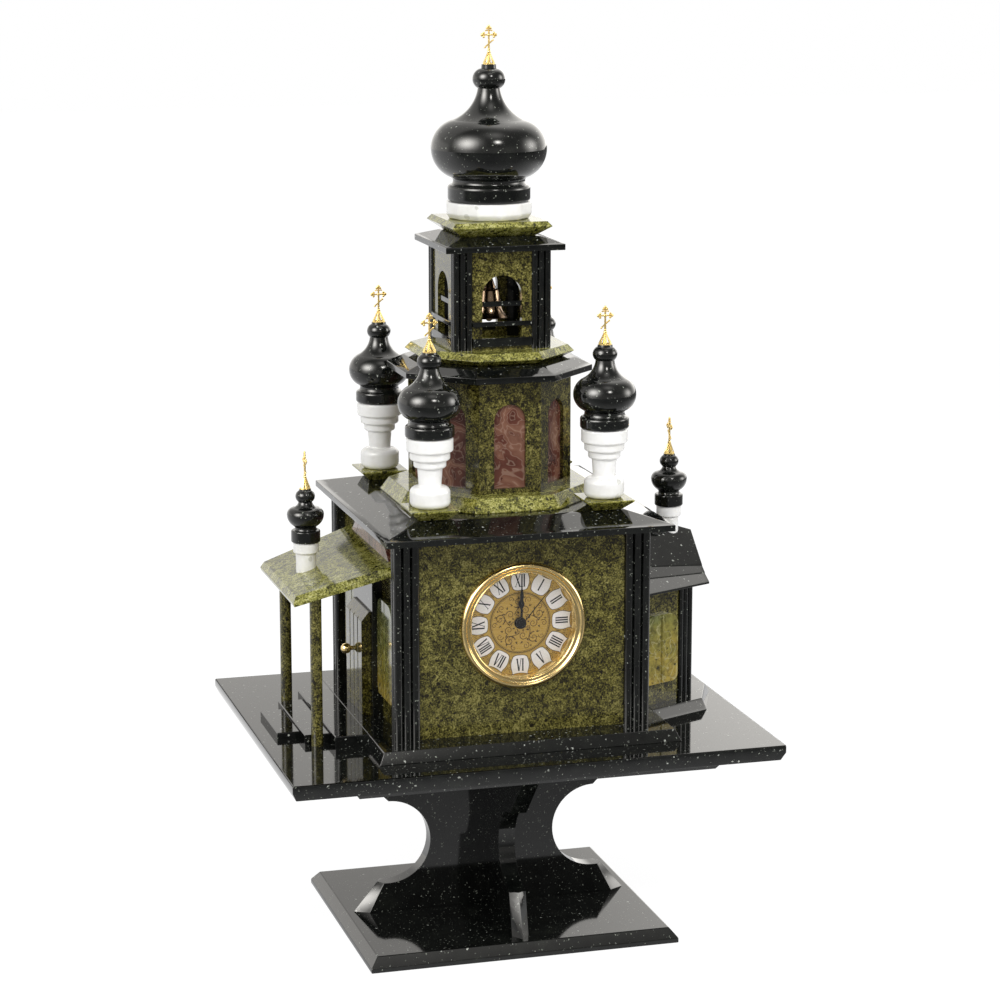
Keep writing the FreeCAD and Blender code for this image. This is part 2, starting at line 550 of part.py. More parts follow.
def build_door_side():
    """Door, its surround, the window panels beside it and the jasper frieze above."""
    wall_x = "side_wall_face"
    under_frieze = "(wall_tall - frieze_below_roof - frieze_tall - surround_below_frieze)"
    under_canopy = (f"({CANOPY_FOOT} - {PLINTH_TOP} - surround_gap"
                    " + (canopy_out - side_wall_face - surround_thick) * tan(canopy_slope))")
    surround_tall = f"min({under_frieze}; {under_canopy})"
    surround = new_body("door_surround")
    add_pad(surround, "YZ_Plane", [upright_block("surround_half", "0", surround_tall)],
            f"-{wall_x}", "surround_thick", backward=True)
    node("door_surround", place(surround, along_y=SIDE_MIDDLE, along_z=PLINTH_TOP))

    door = new_body("door_slab")
    inner = f"-({wall_x} + surround_thick)"
    outer = f"-({wall_x} + surround_thick + door_thick)"
    profile = [(inner, "0"), (outer, "0"), (outer, "door_tall - door_bevel_tall"),
               (f"{outer} + door_bevel", "door_tall"), (inner, "door_tall")]
    add_pad(door, "XZ_Plane", [profile], "0", "2 * door_half", middle=True)
    grooves = []
    for count in (-1, 0, 1):
        centre = f"{count} / 2 * door_half"
        grooves.append([(outer, f"{centre} - plank_groove"), (f"{outer} + plank_groove", centre),
                        (outer, f"{centre} + plank_groove")])
    add_pad(door, "XY_Plane", grooves, "0", "door_tall", backward=True, cut=True)
    node("door_slab", place(door, along_y=SIDE_MIDDLE, along_z=PLINTH_TOP))

    touch = "sqrt(knob_radius * knob_radius - knob_neck_radius * knob_neck_radius)"
    knob = turned("door_knob", [("0", "0"), ("knob_neck_radius", "0"),
                                ("knob_neck_radius", f"knob_stand_off - {touch}"),
                                ("0", "knob_stand_off + knob_radius", "through",
                                 "knob_radius", "knob_stand_off")])
    node("door_knob", place(knob, outer, f"{SIDE_MIDDLE} + knob_beyond_middle",
                            f"{PLINTH_TOP} + knob_rise", ((0, 1, 0), -90)))

    window = new_body("wall_window_panel")
    near, far = "-(surround_half + window_gap)", "-(surround_half + window_gap + window_wide)"
    middle = f"({near} + {far}) / 2"
    front = f"-({wall_x} + window_thick)"
    add_pad(window, "YZ_Plane",
            [rounded(far, "window_rise", near, "(window_rise + window_tall)", "window_corner",
                     "window_shoulder")],
            f"-{wall_x}", "window_thick", backward=True)
    groove = [(front, f"{middle} - window_groove"), (f"{front} + window_groove", middle),
              (front, f"{middle} + window_groove")]
    add_pad(window, "XY_Plane", [groove], "0", "window_rise + window_tall", backward=True, cut=True)
    place(window, along_z=PLINTH_TOP)
    panels = mirrored("wall_window_panels", window, (0, 1, 0))
    node("wall_window_panels", place(panels, along_y=SIDE_MIDDLE))

    blocks = []
    for name, inner_foot, inner_top, outer_foot, outer_top in (
            ("middle", "frieze_joint / 2", "frieze_joint / 2",
             "frieze_joint_foot - frieze_joint / 2", "frieze_joint_top - frieze_joint / 2"),
            ("end", "frieze_joint_foot + frieze_joint / 2", "frieze_joint_top + frieze_joint / 2",
             "frieze_half", "frieze_top_half")):
        stone = new_body(f"frieze_{name}_block")
        outline = [(f"-({inner_foot})", "0"), (f"-({outer_foot})", "0"),
                   (f"-({outer_top})", "frieze_tall"), (f"-({inner_top})", "frieze_tall")]
        add_pad(stone, "YZ_Plane", [outline], f"-{wall_x}", "frieze_thick", backward=True)
        blocks.append(place(stone, along_z=f"{WALL_TOP} - frieze_below_roof - frieze_tall"))
    return mirrored("jasper_frieze", together("jasper_frieze", *blocks), (0, 1, 0))


CANOPY_RUN = "((canopy_out - side_wall_face) / cos(canopy_slope))"
CANOPY_FOOT = f"({TABLE_TOP} + canopy_rise)"


def build_porch(frieze):
    canopy = new_body("porch_canopy_stone")
    spare = "3 * canopy_bevel"
    widening = f"((canopy_half_wall - canopy_half_out) / {CANOPY_RUN})"
    wall_end, wall_half = f"({CANOPY_RUN} + {spare})", f"(canopy_half_wall + {spare} * {widening})"
    outline = [("0", "-canopy_half_out"), (wall_end, f"-{wall_half}"), (wall_end, wall_half),
               ("0", "canopy_half_out")]
    add_pad(canopy, "XY_Plane", [outline], "0", "canopy_edge")
    over = "(canopy_thick - canopy_edge)"
    add_pad(canopy, "XY_Plane", [outline], "canopy_edge", over, narrowing("canopy_bevel", over))
    canopy.Placement = FreeCAD.Placement(FreeCAD.Vector(), FreeCAD.Rotation(FreeCAD.Vector(0, -1, 0), 1))
    bind(canopy, "Placement.Rotation.Angle", "canopy_slope")
    bind(canopy, "Placement.Base.x", "-canopy_out")
    bind(canopy, "Placement.Base.z", CANOPY_FOOT)
    behind = doc.addObject("Part::Box", "inside_of_wall")
    bind(behind, "Length", spare + " + canopy_thick")
    bind(behind, "Width", f"3 * {wall_half}")
    bind(behind, "Height", f"{CANOPY_RUN}")
    place(behind, "-side_wall_face", f"-1.5 * {wall_half}",
          f"{CANOPY_FOOT} + {CANOPY_RUN} * sin(canopy_slope) - {CANOPY_RUN} / 2")
    trimmed = less("porch_canopy", canopy, behind)
    node("porch_canopy", trimmed)
    node("jasper_frieze", less("jasper_frieze", frieze, trimmed))

    post = doc.addObject("Part::Cylinder", "porch_post")
    bind(post, "Radius", "post_diameter / 2")
    bind(post, "Height", "canopy_rise + (canopy_out - post_x + post_diameter / 2) * tan(canopy_slope)")
    place(post, "-post_x", "-post_y", TABLE_TOP)
    fitted = less("porch_post", post, trimmed)
    node("porch_columns", mirrored("porch_columns", fitted, (0, 1, 0)))
    return trimmed


CHAPEL_RUN = "(chapel_end_x - side_wall_face)"
CHAPEL_DROP = "(chapel_wall_half - chapel_end_half)"
CHAPEL_SIDE = f"sqrt({CHAPEL_RUN} * {CHAPEL_RUN} + {CHAPEL_DROP} * {CHAPEL_DROP})"
CHAPEL_ANGLE = f"atan({CHAPEL_DROP} / {CHAPEL_RUN})"
CHAPEL_EAVE = f"({PLINTH_TOP} + chapel_tall)"
CHAPEL_RIDGE_END = ("(chapel_eave_edge + (chapel_ridge_rise - chapel_eave_edge)"
                    " * chapel_eave_end_half / chapel_eave_half)")


def turn_about_z(thing, angle, along_x, along_y, along_z):
    """Turn a thing about the vertical by a bound angle and put it at a bound position."""
    thing.Placement = FreeCAD.Placement(FreeCAD.Vector(), FreeCAD.Rotation(FreeCAD.Vector(0, 0, 1), 1))
    bind(thing, "Placement.Rotation.Angle", angle)
    for axis, expression in (("x", along_x), ("y", along_y), ("z", along_z)):
        bind(thing, f"Placement.Base.{axis}", expression)
    return thing


def course_edges(half, rise):
    """One side of the chapel's gable, from the eave up: two lower courses, each flatter and set back."""
    climb = f"({rise} - chapel_eave_edge)"
    edges = [(half, "chapel_eave_edge")]
    for course in ("low", "middle"):
        along = f"{half} * (1 - {course}_course_share)"
        up = f"chapel_eave_edge + {climb} * {course}_course_fall"
        edges += [(along, f"{up} - course_ledge"), (along, up)]
    return edges


def build_chapel(plinth):
    reach = "(plinth_width / 2 - 3 * chapel_base_inset)"
    slope = ("((chapel_base_wall_half - chapel_base_shoulder_half)"
             " / (chapel_base_shoulder_x - plinth_width / 2))")
    inner_half = f"(chapel_base_wall_half + 3 * chapel_base_inset * {slope})"
    outline = [(reach, f"-{inner_half}"), ("chapel_base_shoulder_x", "-chapel_base_shoulder_half"),
               ("chapel_base_point_x", "0"), ("chapel_base_shoulder_x", "chapel_base_shoulder_half"),
               (reach, inner_half)]
    base = slab("chapel_base_stone", outline, TABLE_TOP, [("0", "plinth_tall", "chapel_base_inset", True)])
    node("chapel_base", less("chapel_base", base, plinth))

    columns = slab("chapel_column", bundle("(-2.5 * chapel_colonnette)",
                                           "(-1.5 * chapel_colonnette)", "chapel_colonnette"),
                   "0", [("0", "chapel_tall", None, True)])
    turn_about_z(columns, CHAPEL_ANGLE, "chapel_end_x", "-chapel_end_half", PLINTH_TOP)
    pair = mirrored("chapel_columns", columns, (0, 1, 0))
    node("chapel_columns", pair)

    thick = "chapel_wall_thick"
    wall_x = "side_wall_face"
    inner_x = f"(chapel_end_x - {thick})"
    inner_y = f"(chapel_end_half - {thick} * ({CHAPEL_SIDE} - {CHAPEL_DROP}) / {CHAPEL_RUN})"
    inner_wall_half = f"(chapel_wall_half - {thick} * {CHAPEL_SIDE} / {CHAPEL_RUN})"
    side = slab("chapel_side_wall", [(wall_x, "-chapel_wall_half"), ("chapel_end_x", "-chapel_end_half"),
                                     (inner_x, f"-{inner_y}"), (wall_x, f"-{inner_wall_half}")],
                PLINTH_TOP, [("0", "chapel_tall", None, True)])
    end = slab("chapel_end_wall", [("chapel_end_x", "-chapel_end_half"), ("chapel_end_x", "chapel_end_half"),
                                   (inner_x, inner_y), (inner_x, f"-{inner_y}")],
               PLINTH_TOP, [("0", "chapel_tall", None, True)])
    sides = mirrored("chapel_sides", less("chapel_side", side, pair), (0, 1, 0))
    node("chapel_walls", together("chapel_walls", sides, less("chapel_end", end, pair)))

    window = new_body("chapel_window_panel")
    left, right = "chapel_window_from_wall", "(chapel_window_from_wall + chapel_window_wide)"
    middle, foot = f"({left} + {right}) / 2", "chapel_window_rise"
    top = "(chapel_window_rise + chapel_window_tall)"
    add_pad(window, "XZ_Plane", [rounded(left, foot, right, top, "chapel_window_corner",
                                         "chapel_window_shoulder")], "0", "window_thick")
    groove = [(f"{middle} - window_groove", "-window_thick"), (middle, "window_groove - window_thick"),
              (f"{middle} + window_groove", "-window_thick")]
    add_pad(window, "XY_Plane", [groove], "0", top, backward=True, cut=True)
    turn_about_z(window, CHAPEL_ANGLE, wall_x, "-chapel_wall_half", PLINTH_TOP)
    node("chapel_window_panels", mirrored("chapel_window_panels", window, (0, 1, 0)))

    roof = new_body("chapel_roof")
    gables = []
    for offset, half, rise in ((wall_x, "chapel_eave_half", "chapel_ridge_rise"),
                               ("chapel_roof_x", "chapel_eave_end_half", CHAPEL_RIDGE_END)):
        slope = course_edges(half, rise)
        gable = ([(f"-{half}", "0"), (half, "0")] + slope + [("0", rise)]
                 + [(f"-({along})", up) for along, up in reversed(slope)])
        gables.append(new_sketch(roof, "YZ_Plane", [gable], offset))
    loft = roof.newObject("PartDesign::AdditiveLoft", "chapel_roof_stone")
    loft.Profile = gables[0]
    loft.Sections = [gables[1]]
    loft.Ruled = True
    node("chapel_roof", place(roof, along_z=CHAPEL_EAVE))
    return roof


def belt(radius, foot, top, rounding):
    """Outer side of a turned belt, with its lower and upper edges rounded."""
    corner = f"{rounding} * (1 - cos(45))"
    return [(f"{radius} - {rounding}", foot),
            (radius, f"{foot} + {rounding}", "through", f"{radius} - {corner}", f"{foot} + {corner}"),
            (radius, f"{top} - {rounding}"),
            (f"{radius} - {rounding}", top, "through", f"{radius} - {corner}", f"{top} - {corner}")]


CROSS_STUD_ROOM = "(cross_stud_long + 0.3)"


def onion(kind):
    """Turned onion dome on its ring, bored at the top for the stud of its cross.

    The bulb and the throat are two arcs that meet tangentially at the shoulder.
    """
    def at(name):
        return f"{kind}_{name}"

    fall = f"({at('bulb_radius')} - {at('throat_radius')})"
    climb = f"({at('throat_level')} - {at('bulb_level')})"
    radii = f"(({fall} * {fall} + {climb} * {climb}) / (2 * {fall}))"
    lower = f"({radii} * ({at('shoulder_level')} - {at('bulb_level')}) / {climb})"
    shoulder = f"({at('bulb_radius')} - {lower} * {fall} / {radii})"
    chord = f"({at('collar_level')} - {at('ball_level')})"
    return [("0", "0")] + belt(at("ring_radius"), "0", at("ring_tall"), at("rounding_of_ring")) + [
            (f"{at('groove_radius')} + {at('rounding_of_ring')} / 2", at("ring_tall")),
            (at("groove_radius"), at("groove_level"), "level", "end"),
            (at("lip_radius"), at("lip_level"), "level", "start"),
            (at("bulb_radius"), at("bulb_level"), "level", "end"),
            (shoulder, at("shoulder_level"), "level", "start"),
            (at("throat_radius"), at("throat_level"), "through",
             f"{at('throat_radius')} + flare_share * ({shoulder} - {at('throat_radius')})",
             f"({at('shoulder_level')} + {at('throat_level')}) / 2"),
            (f"1.05 * {at('collar_radius')}", f"{at('ball_level')} + {chord} * 0.72",
             "through", at("ball_radius"), at("ball_level")),
            (at("collar_radius"), at("collar_level")),
            ("(cross_stud_radius + stud_clearance)", at("collar_level")),
            ("(cross_stud_radius + stud_clearance)", f"{at('collar_level')} - {CROSS_STUD_ROOM}"),
            ("0", f"{at('collar_level')} - {CROSS_STUD_ROOM}")]


def brass_cross(label, kind):
    """Brass cross on a flared foot, with a stud below that enters the dome."""
    cone = f"{kind}_cross_cone_radius"
    body = turned(label, [("0", "-cross_stud_long"), ("cross_stud_radius", "-cross_stud_long"),
                          ("cross_stud_radius", "0"), (cone, "0"), (cone, "0.1 * cross_cone_tall"),
                          (f"{cone} * 0.5", "0.5 * cross_cone_tall"), ("cross_bar / 2", "cross_cone_tall"),
                          ("0", "cross_cone_tall")])
    half, leaf = "cross_bar / 2", "cross_leaf_radius"
    tip, end = f"(cross_tall - {leaf})", f"(cross_arm_half - {leaf})"
    slant = "(cross_foot_half * tan(cross_foot_angle))"
    bars = ([(f"-({half})", "cross_cone_tall * 0.8"), (half, "cross_cone_tall * 0.8"), (half, tip),
             (f"-({half})", tip)],
            upright_block(end, f"cross_arm_level - {half}", f"cross_arm_level + {half}"),
            upright_block("cross_top_half", f"cross_top_level - {half}", f"cross_top_level + {half}"),
            [("-cross_foot_half", f"cross_foot_level - {slant} - {half}"),
             ("cross_foot_half", f"cross_foot_level + {slant} - {half}"),
             ("cross_foot_half", f"cross_foot_level + {slant} + {half}"),
             ("-cross_foot_half", f"cross_foot_level - {slant} + {half}")])
    for bar in bars:
        add_pad(body, "XZ_Plane", [bar], "0", "cross_thick", middle=True)
    for side in (-1, 0, 1):
        back, off = (f"0.7 * {leaf}", f"{side} * 0.9 * {leaf}") if side else ("0", "0")
        leaves = [["circle", f"-({end} - {back})", f"cross_arm_level + {off}", leaf],
                  ["circle", f"{end} - {back}", f"cross_arm_level + {off}", leaf],
                  ["circle", off, f"{tip} - {back}", leaf]]
        add_pad(body, "XZ_Plane", leaves, "0", "cross_thick", middle=True)
    return body


def build_towers():
    spots = ((1, 0, 0), (0, 1, 0))
    over = "(tower_plate_tall - tower_plate_edge)"
    plate = slab("tower_plate", block("tower_plate_top / 2", "tower_plate_top / 2"), ROOF_TOP,
                 [(over, over, "(tower_plate_top - tower_plate_foot) / 2", False),
                  (over, "tower_plate_edge", None, True)])
    place(plate, "tower_x", "-tower_y", ROOF_TOP)
    node("tower_plates", mirrored("tower_plates", plate, *spots))

    cushion, shaft = "tower_cushion_radius", "tower_shaft_radius"
    step, ledge, band = "tower_step_radius", "tower_ledge_radius", "tower_band_radius"
    soft = "tower_rounding"
    corner = f"{soft} * (1 - cos(45))"
    shaft_top = "(tower_cushion_tall + tower_shaft_tall)"
    step_top = f"({shaft_top} + tower_step_tall)"
    ledge_top = f"({step_top} + tower_ledge_tall)"
    shaft_foot = "tower_shaft_foot_radius"
    profile = ([("0", "0")] + belt(cushion, "0", "tower_cushion_tall", "tower_cushion_rounding")
               + [(f"{shaft_foot} + {soft}", "tower_cushion_tall"),
                  (shaft_foot, f"tower_cushion_tall + {soft}", "through",
                   f"{shaft_foot} + {corner}", f"tower_cushion_tall + {corner}"),
                  (shaft, shaft_top)]
               + belt(step, shaft_top, step_top, soft)[:2] + [(step, step_top)]
               + belt(ledge, step_top, ledge_top, soft)[:2] + [(ledge, ledge_top)]
               + belt(band, ledge_top, TOWER_COLUMN_TALL, soft) + [("0", TOWER_COLUMN_TALL)])
    column = place(turned("tower_column", profile), "tower_x", "-tower_y", TOWER_PLATE_TOP)
    node("tower_columns", mirrored("tower_columns", column, *spots))
    dome = place(turned("tower_onion", onion("tower")), "tower_x", "-tower_y", TOWER_ONION_FOOT)
    node("tower_onions", mirrored("tower_onions", dome, *spots))
    cross = place(brass_cross("tower_cross", "tower"), "tower_x", "-tower_y",
                  f"{TOWER_ONION_FOOT} + tower_collar_level")
    node("tower_crosses", mirrored("tower_crosses", cross, *spots))


def build_small_towers(canopy, chapel_roof):
    """The two small domes: one drum scribed to the sloping canopy, one to the chapel's ridge."""
    porch_foot = (f"({CANOPY_FOOT} + (canopy_out - small_tower_porch_x) * tan(canopy_slope)"
                  " + canopy_thick / cos(canopy_slope) - small_drum_porch_sunk)")
    ridge_fall = f"((chapel_ridge_rise - {CHAPEL_RIDGE_END}) / (chapel_roof_x - side_wall_face))"
    chapel_foot = (f"({CHAPEL_EAVE} + chapel_ridge_rise"
                   f" - (small_tower_chapel_x - side_wall_face) * {ridge_fall} - small_drum_chapel_sunk)")
    spots = (("porch", "-small_tower_porch_x", porch_foot, canopy),
             ("chapel", "small_tower_chapel_x", chapel_foot, chapel_roof))
    drums, domes, crosses = [], [], []
    profile = ([("0", "0"), ("small_drum_radius", "0"), ("small_drum_radius", "small_drum_band_level")]
               + belt("small_drum_band_radius", "small_drum_band_level", "small_drum_tall",
                      "small_drum_rounding")
               + [("0", "small_drum_tall")])
    for name, along_x, foot, roof in spots:
        drum = place(turned(f"{name}_drum_stone", profile), along_x, "0", foot)
        drums.append(less(f"{name}_drum", drum, roof))
        dome = turned(f"{name}_onion", onion("small"))
        domes.append(place(dome, along_x, "0", f"{foot} + small_drum_tall"))
        cross = brass_cross(f"{name}_cross", "small")
        crosses.append(place(cross, along_x, "0", f"{foot} + small_drum_tall + small_collar_level",
                             ((0, 0, 1), 90)))
    node("small_drums", together("small_drums", *drums))
    node("small_onions", together("small_onions", *domes))
    node("small_crosses", together("small_crosses", *crosses))


def facing(degrees):
    return (math.cos(math.radians(degrees)), math.sin(math.radians(degrees)), 0)


def build_drum():
    node("drum_base_plate", slab("drum_base_plate", octagon("drum_base_apothem"), ROOF_TOP,
                                 [("0", "drum_base_edge", None, True),
                                  ("drum_base_edge", "drum_base_tall - drum_base_edge",
                                   "drum_base_inset", True)]))
    around = (facing(22.5), facing(67.5), facing(157.5))
    outer, inner = "drum_apothem", "(drum_apothem - drum_wall_thick)"
    facet = slab("drum_facet", [(f"-{outer} * {EIGHTH}", f"-{outer}"), (f"{outer} * {EIGHTH}", f"-{outer}"),
                                (f"{inner} * {EIGHTH}", f"-{inner}"), (f"-{inner} * {EIGHTH}", f"-{inner}")],
                 DRUM_FOOT, [("0", "drum_tall", None, True)])
    niche = arch("niche_width / 2", "niche_foot", "niche_tall")
    add_pad(facet, "XZ_Plane", [niche], outer, "drum_wall_thick", cut=True)
    node("drum_walls", mirrored("drum_walls", facet, *around))
    panel = new_body("drum_panel")
    add_pad(panel, "XZ_Plane", [arch("(niche_width / 2 - panel_clearance)", "niche_foot",
                                     "(niche_tall - panel_clearance)")],
            "drum_apothem - niche_deep", "drum_wall_thick - niche_deep", backward=True)
    place(panel, along_z=DRUM_FOOT)
    node("drum_jasper_panels", mirrored("drum_jasper_panels", panel, *around))
    node("drum_roof", slab("drum_roof", octagon("drum_roof_apothem"), DRUM_TOP,
                           [("0", "drum_roof_edge", None, True),
                            ("drum_roof_edge", "drum_roof_rise", "drum_roof_run", True)]))


def build_belfry():
    node("belfry_base_plate",
         slab("belfry_base_plate", octagon("belfry_base_apothem"), BELFRY_BASE_FOOT,
              [("belfry_base_under", "belfry_base_under",
                "(belfry_base_apothem - belfry_base_foot_apothem)", False),
               ("belfry_base_under", "belfry_base_over", "belfry_base_top_inset", True)]))
    inner_x = "(belfry_half - 3 * belfry_colonnette)"
    inner_y = "(belfry_half - 2 * belfry_colonnette)"
    column = slab("belfry_column", bundle(inner_x, inner_y, "belfry_colonnette"), BELFRY_FOOT,
                  [("0", "belfry_tall", None, True)])
    node("belfry_columns", mirrored("belfry_columns", column, (1, 0, 0), (0, 1, 0)))

    opening = arch("arch_width / 2", "arch_foot", "arch_tall")
    face = "(belfry_half - belfry_wall_setback)"
    walls, rails = [], []
    for name, plane, half, across in (("front", "XZ_Plane", inner_x, (0, 1, 0)),
                                      ("side", "YZ_Plane", inner_y, (1, 0, 0))):
        panel = wall(f"belfry_{name}_wall", plane, [upright_block(half, "0", "belfry_tall"), opening],
                     face, "belfry_wall_thick", BELFRY_FOOT, 1)
        walls.append(mirrored(f"belfry_{name}_walls", panel, across))
        middle_of_wall = f"({face} - (belfry_wall_thick - guard_thick) / 2)"
        bars = (("bottom", half, "rail_rise", "rail_tall", f"({face} + rail_proud)", "rail_proud"),
                ("middle", half, "middle_rail_rise", "middle_rail_tall", f"({face} + rail_proud)",
                 "rail_proud"),
                ("guard", "arch_width / 2", "guard_rise", "guard_tall", middle_of_wall, "guard_thick"))
        row = [wall(f"{name}_{bar}_rail", plane, [upright_block(length, rise, f"{rise} + {tall}")],
                    outer, thick, BELFRY_FOOT, 1)
               for bar, length, rise, tall, outer, thick in bars]
        rails.append(mirrored(f"belfry_{name}_rails", together(f"{name}_rails", *row), across))
    node("belfry_walls", together("belfry_walls", *walls))
    node("belfry_rails", together("belfry_rails", *rails))
    node("belfry_roof", slab("belfry_roof", block("belfry_roof_width / 2", "belfry_roof_depth / 2"),
                             BELFRY_TOP, [("0", "belfry_roof_edge", None, True),
                                          ("belfry_roof_edge", "belfry_roof_rise", "belfry_roof_run",
                                           True)]))


def build_bell():
    """Bell on a forked hanger, with its clapper on a pin inside; heights are from the bell's pin."""
    hanger = new_body("bell_hanger")
    half_fork = "(hanger_fork_gap / 2 + hanger_fork_cheek)"
    post = new_sketch(hanger, "XZ_Plane", [[("0", "bell_pin_drop"), ("hanger_flange_radius", "bell_pin_drop"),
                                            ("hanger_flange_radius", "bell_pin_drop - hanger_flange_tall"),
                                            ("hanger_post_radius", "bell_pin_drop - hanger_flange_tall"),
                                            ("hanger_post_radius", "1.5 * bell_lug_radius"),
                                            ("0", "1.5 * bell_lug_radius")]])
    turning = hanger.newObject("PartDesign::Revolution", "hanger_post")
    turning.Profile = post
    turning.ReferenceAxis = (post, ["V_Axis"])
    fork = [(f"-{half_fork}", "-bell_lug_radius"), (f"-{half_fork}", "2 * bell_lug_radius"),
            (half_fork, "2 * bell_lug_radius"), (half_fork, "-bell_lug_radius"),
            ("hanger_fork_gap / 2", "-bell_lug_radius"),
            ("hanger_fork_gap / 2", "1.25 * bell_lug_radius"),
            ("-hanger_fork_gap / 2", "1.25 * bell_lug_radius"), ("-hanger_fork_gap / 2", "-bell_lug_radius")]
    add_pad(hanger, "XZ_Plane", [fork], "0", "2 * bell_lug_radius", middle=True)
    add_pad(hanger, "YZ_Plane", [["circle", "0", "0", "bell_pin_radius"]], "0", f"2 * {half_fork}",
            middle=True)
    node("bell_hanger", place(hanger, along_z=BELL_PIN_LEVEL))

    bell = new_body("bell")
    foot, top = "-bell_lip_drop", "(bell_tall - bell_lip_drop)"
    waist_level = "(bell_waist_level - bell_lip_drop)"
    shoulder_level = "(bell_shoulder_level - bell_lip_drop)"
    thick = "bell_wall"
    bow = "(bell_lip_radius * 0.38 + bell_waist_radius * 0.62)"
    bow_level = f"({foot} + bell_waist_level * 0.48)"
    profile = new_sketch(bell, "XZ_Plane", [[
        ("0", f"{shoulder_level} - {thick}"),
        (f"bell_shoulder_radius - 1.6 * {thick}", f"{shoulder_level} - {thick}"),
        (f"bell_waist_radius - {thick}", waist_level),
        (f"bell_lip_radius - {thick}", foot, "through", f"{bow} - {thick}", bow_level),
        ("bell_lip_radius", foot), ("bell_lip_radius", f"{foot} + {thick} / 2"),
        ("bell_waist_radius", waist_level, "through", bow, bow_level),
        ("bell_shoulder_radius", shoulder_level),
        ("bell_crown_radius", f"{shoulder_level} + {thick}", "through",
         "(bell_shoulder_radius * 0.8 + bell_crown_radius * 0.2)", f"{shoulder_level} + {thick} * 0.8"),
        (f"bell_crown_radius + 0.3 * {thick}", f"{shoulder_level} + 2 * {thick}"),
        ("0.5 * bell_crown_radius", top), ("0", top)]])
    turning = bell.newObject("PartDesign::Revolution", "bell_cup")
    turning.Profile = profile
    turning.ReferenceAxis = (profile, ["V_Axis"])
    lug_half = "bell_lug_radius"
    add_pad(bell, "YZ_Plane", [[(f"-{lug_half} * 0.8", top + " - " + thick), (f"{lug_half} * 0.8", top + " - " + thick),
                                (lug_half, "0"), (f"-{lug_half}", "0", "through", "0", lug_half)]],
            "0", "hanger_fork_gap - 2 * bell_side_play", middle=True)
    add_pad(bell, "YZ_Plane", [["circle", "0", "0", "(bell_pin_radius + bell_running_fit)"]],
            "-hanger_fork_gap", "2 * hanger_fork_gap", cut=True, backward=True)
    add_pad(bell, "YZ_Plane", [["circle", "0", "-clapper_pin_drop", "clapper_pin_radius"]], "0",
            f"2 * (bell_shoulder_radius - 0.5 * {thick})", middle=True)
    node("bell", place(bell, along_z=BELL_PIN_LEVEL))

    clapper = new_body("clapper")
    drop = "(clapper_ball_drop - clapper_pin_drop)"
    ball_top = f"({drop} - sqrt(clapper_ball_radius * clapper_ball_radius - clapper_rod_radius * clapper_rod_radius))"
    rod = new_sketch(clapper, "XZ_Plane", [[
        ("0", "-clapper_pin_radius - 2 * bell_running_fit"),
        ("clapper_rod_radius", "-clapper_pin_radius - 2 * bell_running_fit"),
        ("clapper_rod_radius", f"-{ball_top}"),
        ("0", f"-{drop} - clapper_ball_radius", "through", "clapper_ball_radius", f"-{drop}")]])
    turning = clapper.newObject("PartDesign::Revolution", "clapper_rod")
    turning.Profile = rod
    turning.ReferenceAxis = (rod, ["V_Axis"])
    add_pad(clapper, "YZ_Plane", [["circle", "0", "0", "clapper_eye_radius"],
                                  ["circle", "0", "0", "(clapper_pin_radius + bell_running_fit)"]],
            "0", "1.5 * clapper_rod_radius", middle=True)
    node("clapper", place(clapper, along_z=f"{BELL_PIN_LEVEL} - clapper_pin_drop"))


def build_dome():
    node("dome_base_plate",
         slab("dome_base_plate", block("dome_base_width / 2", "dome_base_width / 2"), DOME_BASE_FOOT,
              [("dome_base_under", "dome_base_under", "(dome_base_width - dome_base_foot) / 2", False),
               ("dome_base_under", "dome_base_over", "dome_base_top_inset", True)]))
    sides = 12
    ring = [(f"dome_drum_radius * cos({360 / sides * count})", f"dome_drum_radius * sin({360 / sides * count})")
            for count in range(sides)]
    node("dome_drum", slab("dome_drum", ring, DOME_DRUM_FOOT,
                           [("dome_drum_foot_tall", "dome_drum_tall - dome_drum_foot_tall", None, True),
                            ("dome_drum_foot_tall", "dome_drum_foot_tall", "dome_drum_foot_inset",
                             False)]))
    node("dome_onion", place(turned("dome_onion", onion("dome")), along_z=DOME_ONION_FOOT))
    node("dome_cross", place(brass_cross("dome_cross", "dome"),
                             along_z=f"{DOME_ONION_FOOT} + dome_collar_level"))


def on_front(thing):
    """Put a piece made with its axis upright so that the axis points out of the clock's wall."""
    return place(thing, "0", "-front_wall_face", CLOCK_LEVEL, ((1, 0, 0), 90))


def hand(label, level, hub, leaf, tube_outer, tube_inner, foot):
    """Clock hand: flat blade and hub on a tube or pin that turns inside the movement's bush."""
    body = new_body(label)
    add_pad(body, "XY_Plane", [leaf], level, "hand_thick")
    add_pad(body, "XY_Plane", [["circle", "0", "0", hub]], level, "hand_thick")
    add_pad(body, "XY_Plane", [["circle", "0", "0", tube_outer]], foot, f"{level} + hand_thick - {foot}")
    add_pad(body, "XY_Plane", [["circle", "0", "0", tube_inner]], foot,
            f"{level} + 2 * hand_thick - {foot}", cut=True, backward=True)
    return on_front(body)


def leaf_blade(long, half, leaf_half, leaf_level):
    """Blade that swells to a leaf and runs out to a fine point."""
    fine = f"{half} * 0.35"
    return [(f"-{half}", "0"), (half, "0"), (half, f"{leaf_level} - 2 * {leaf_half}"),
            (leaf_half, leaf_level), (fine, f"{leaf_level} + 2.2 * {leaf_half}"), (fine, long),
            (f"-{fine}", long), (f"-{fine}", f"{leaf_level} + 2.2 * {leaf_half}"),
            (f"-{leaf_half}", leaf_level), (f"-{half}", f"{leaf_level} - 2 * {leaf_half}")]


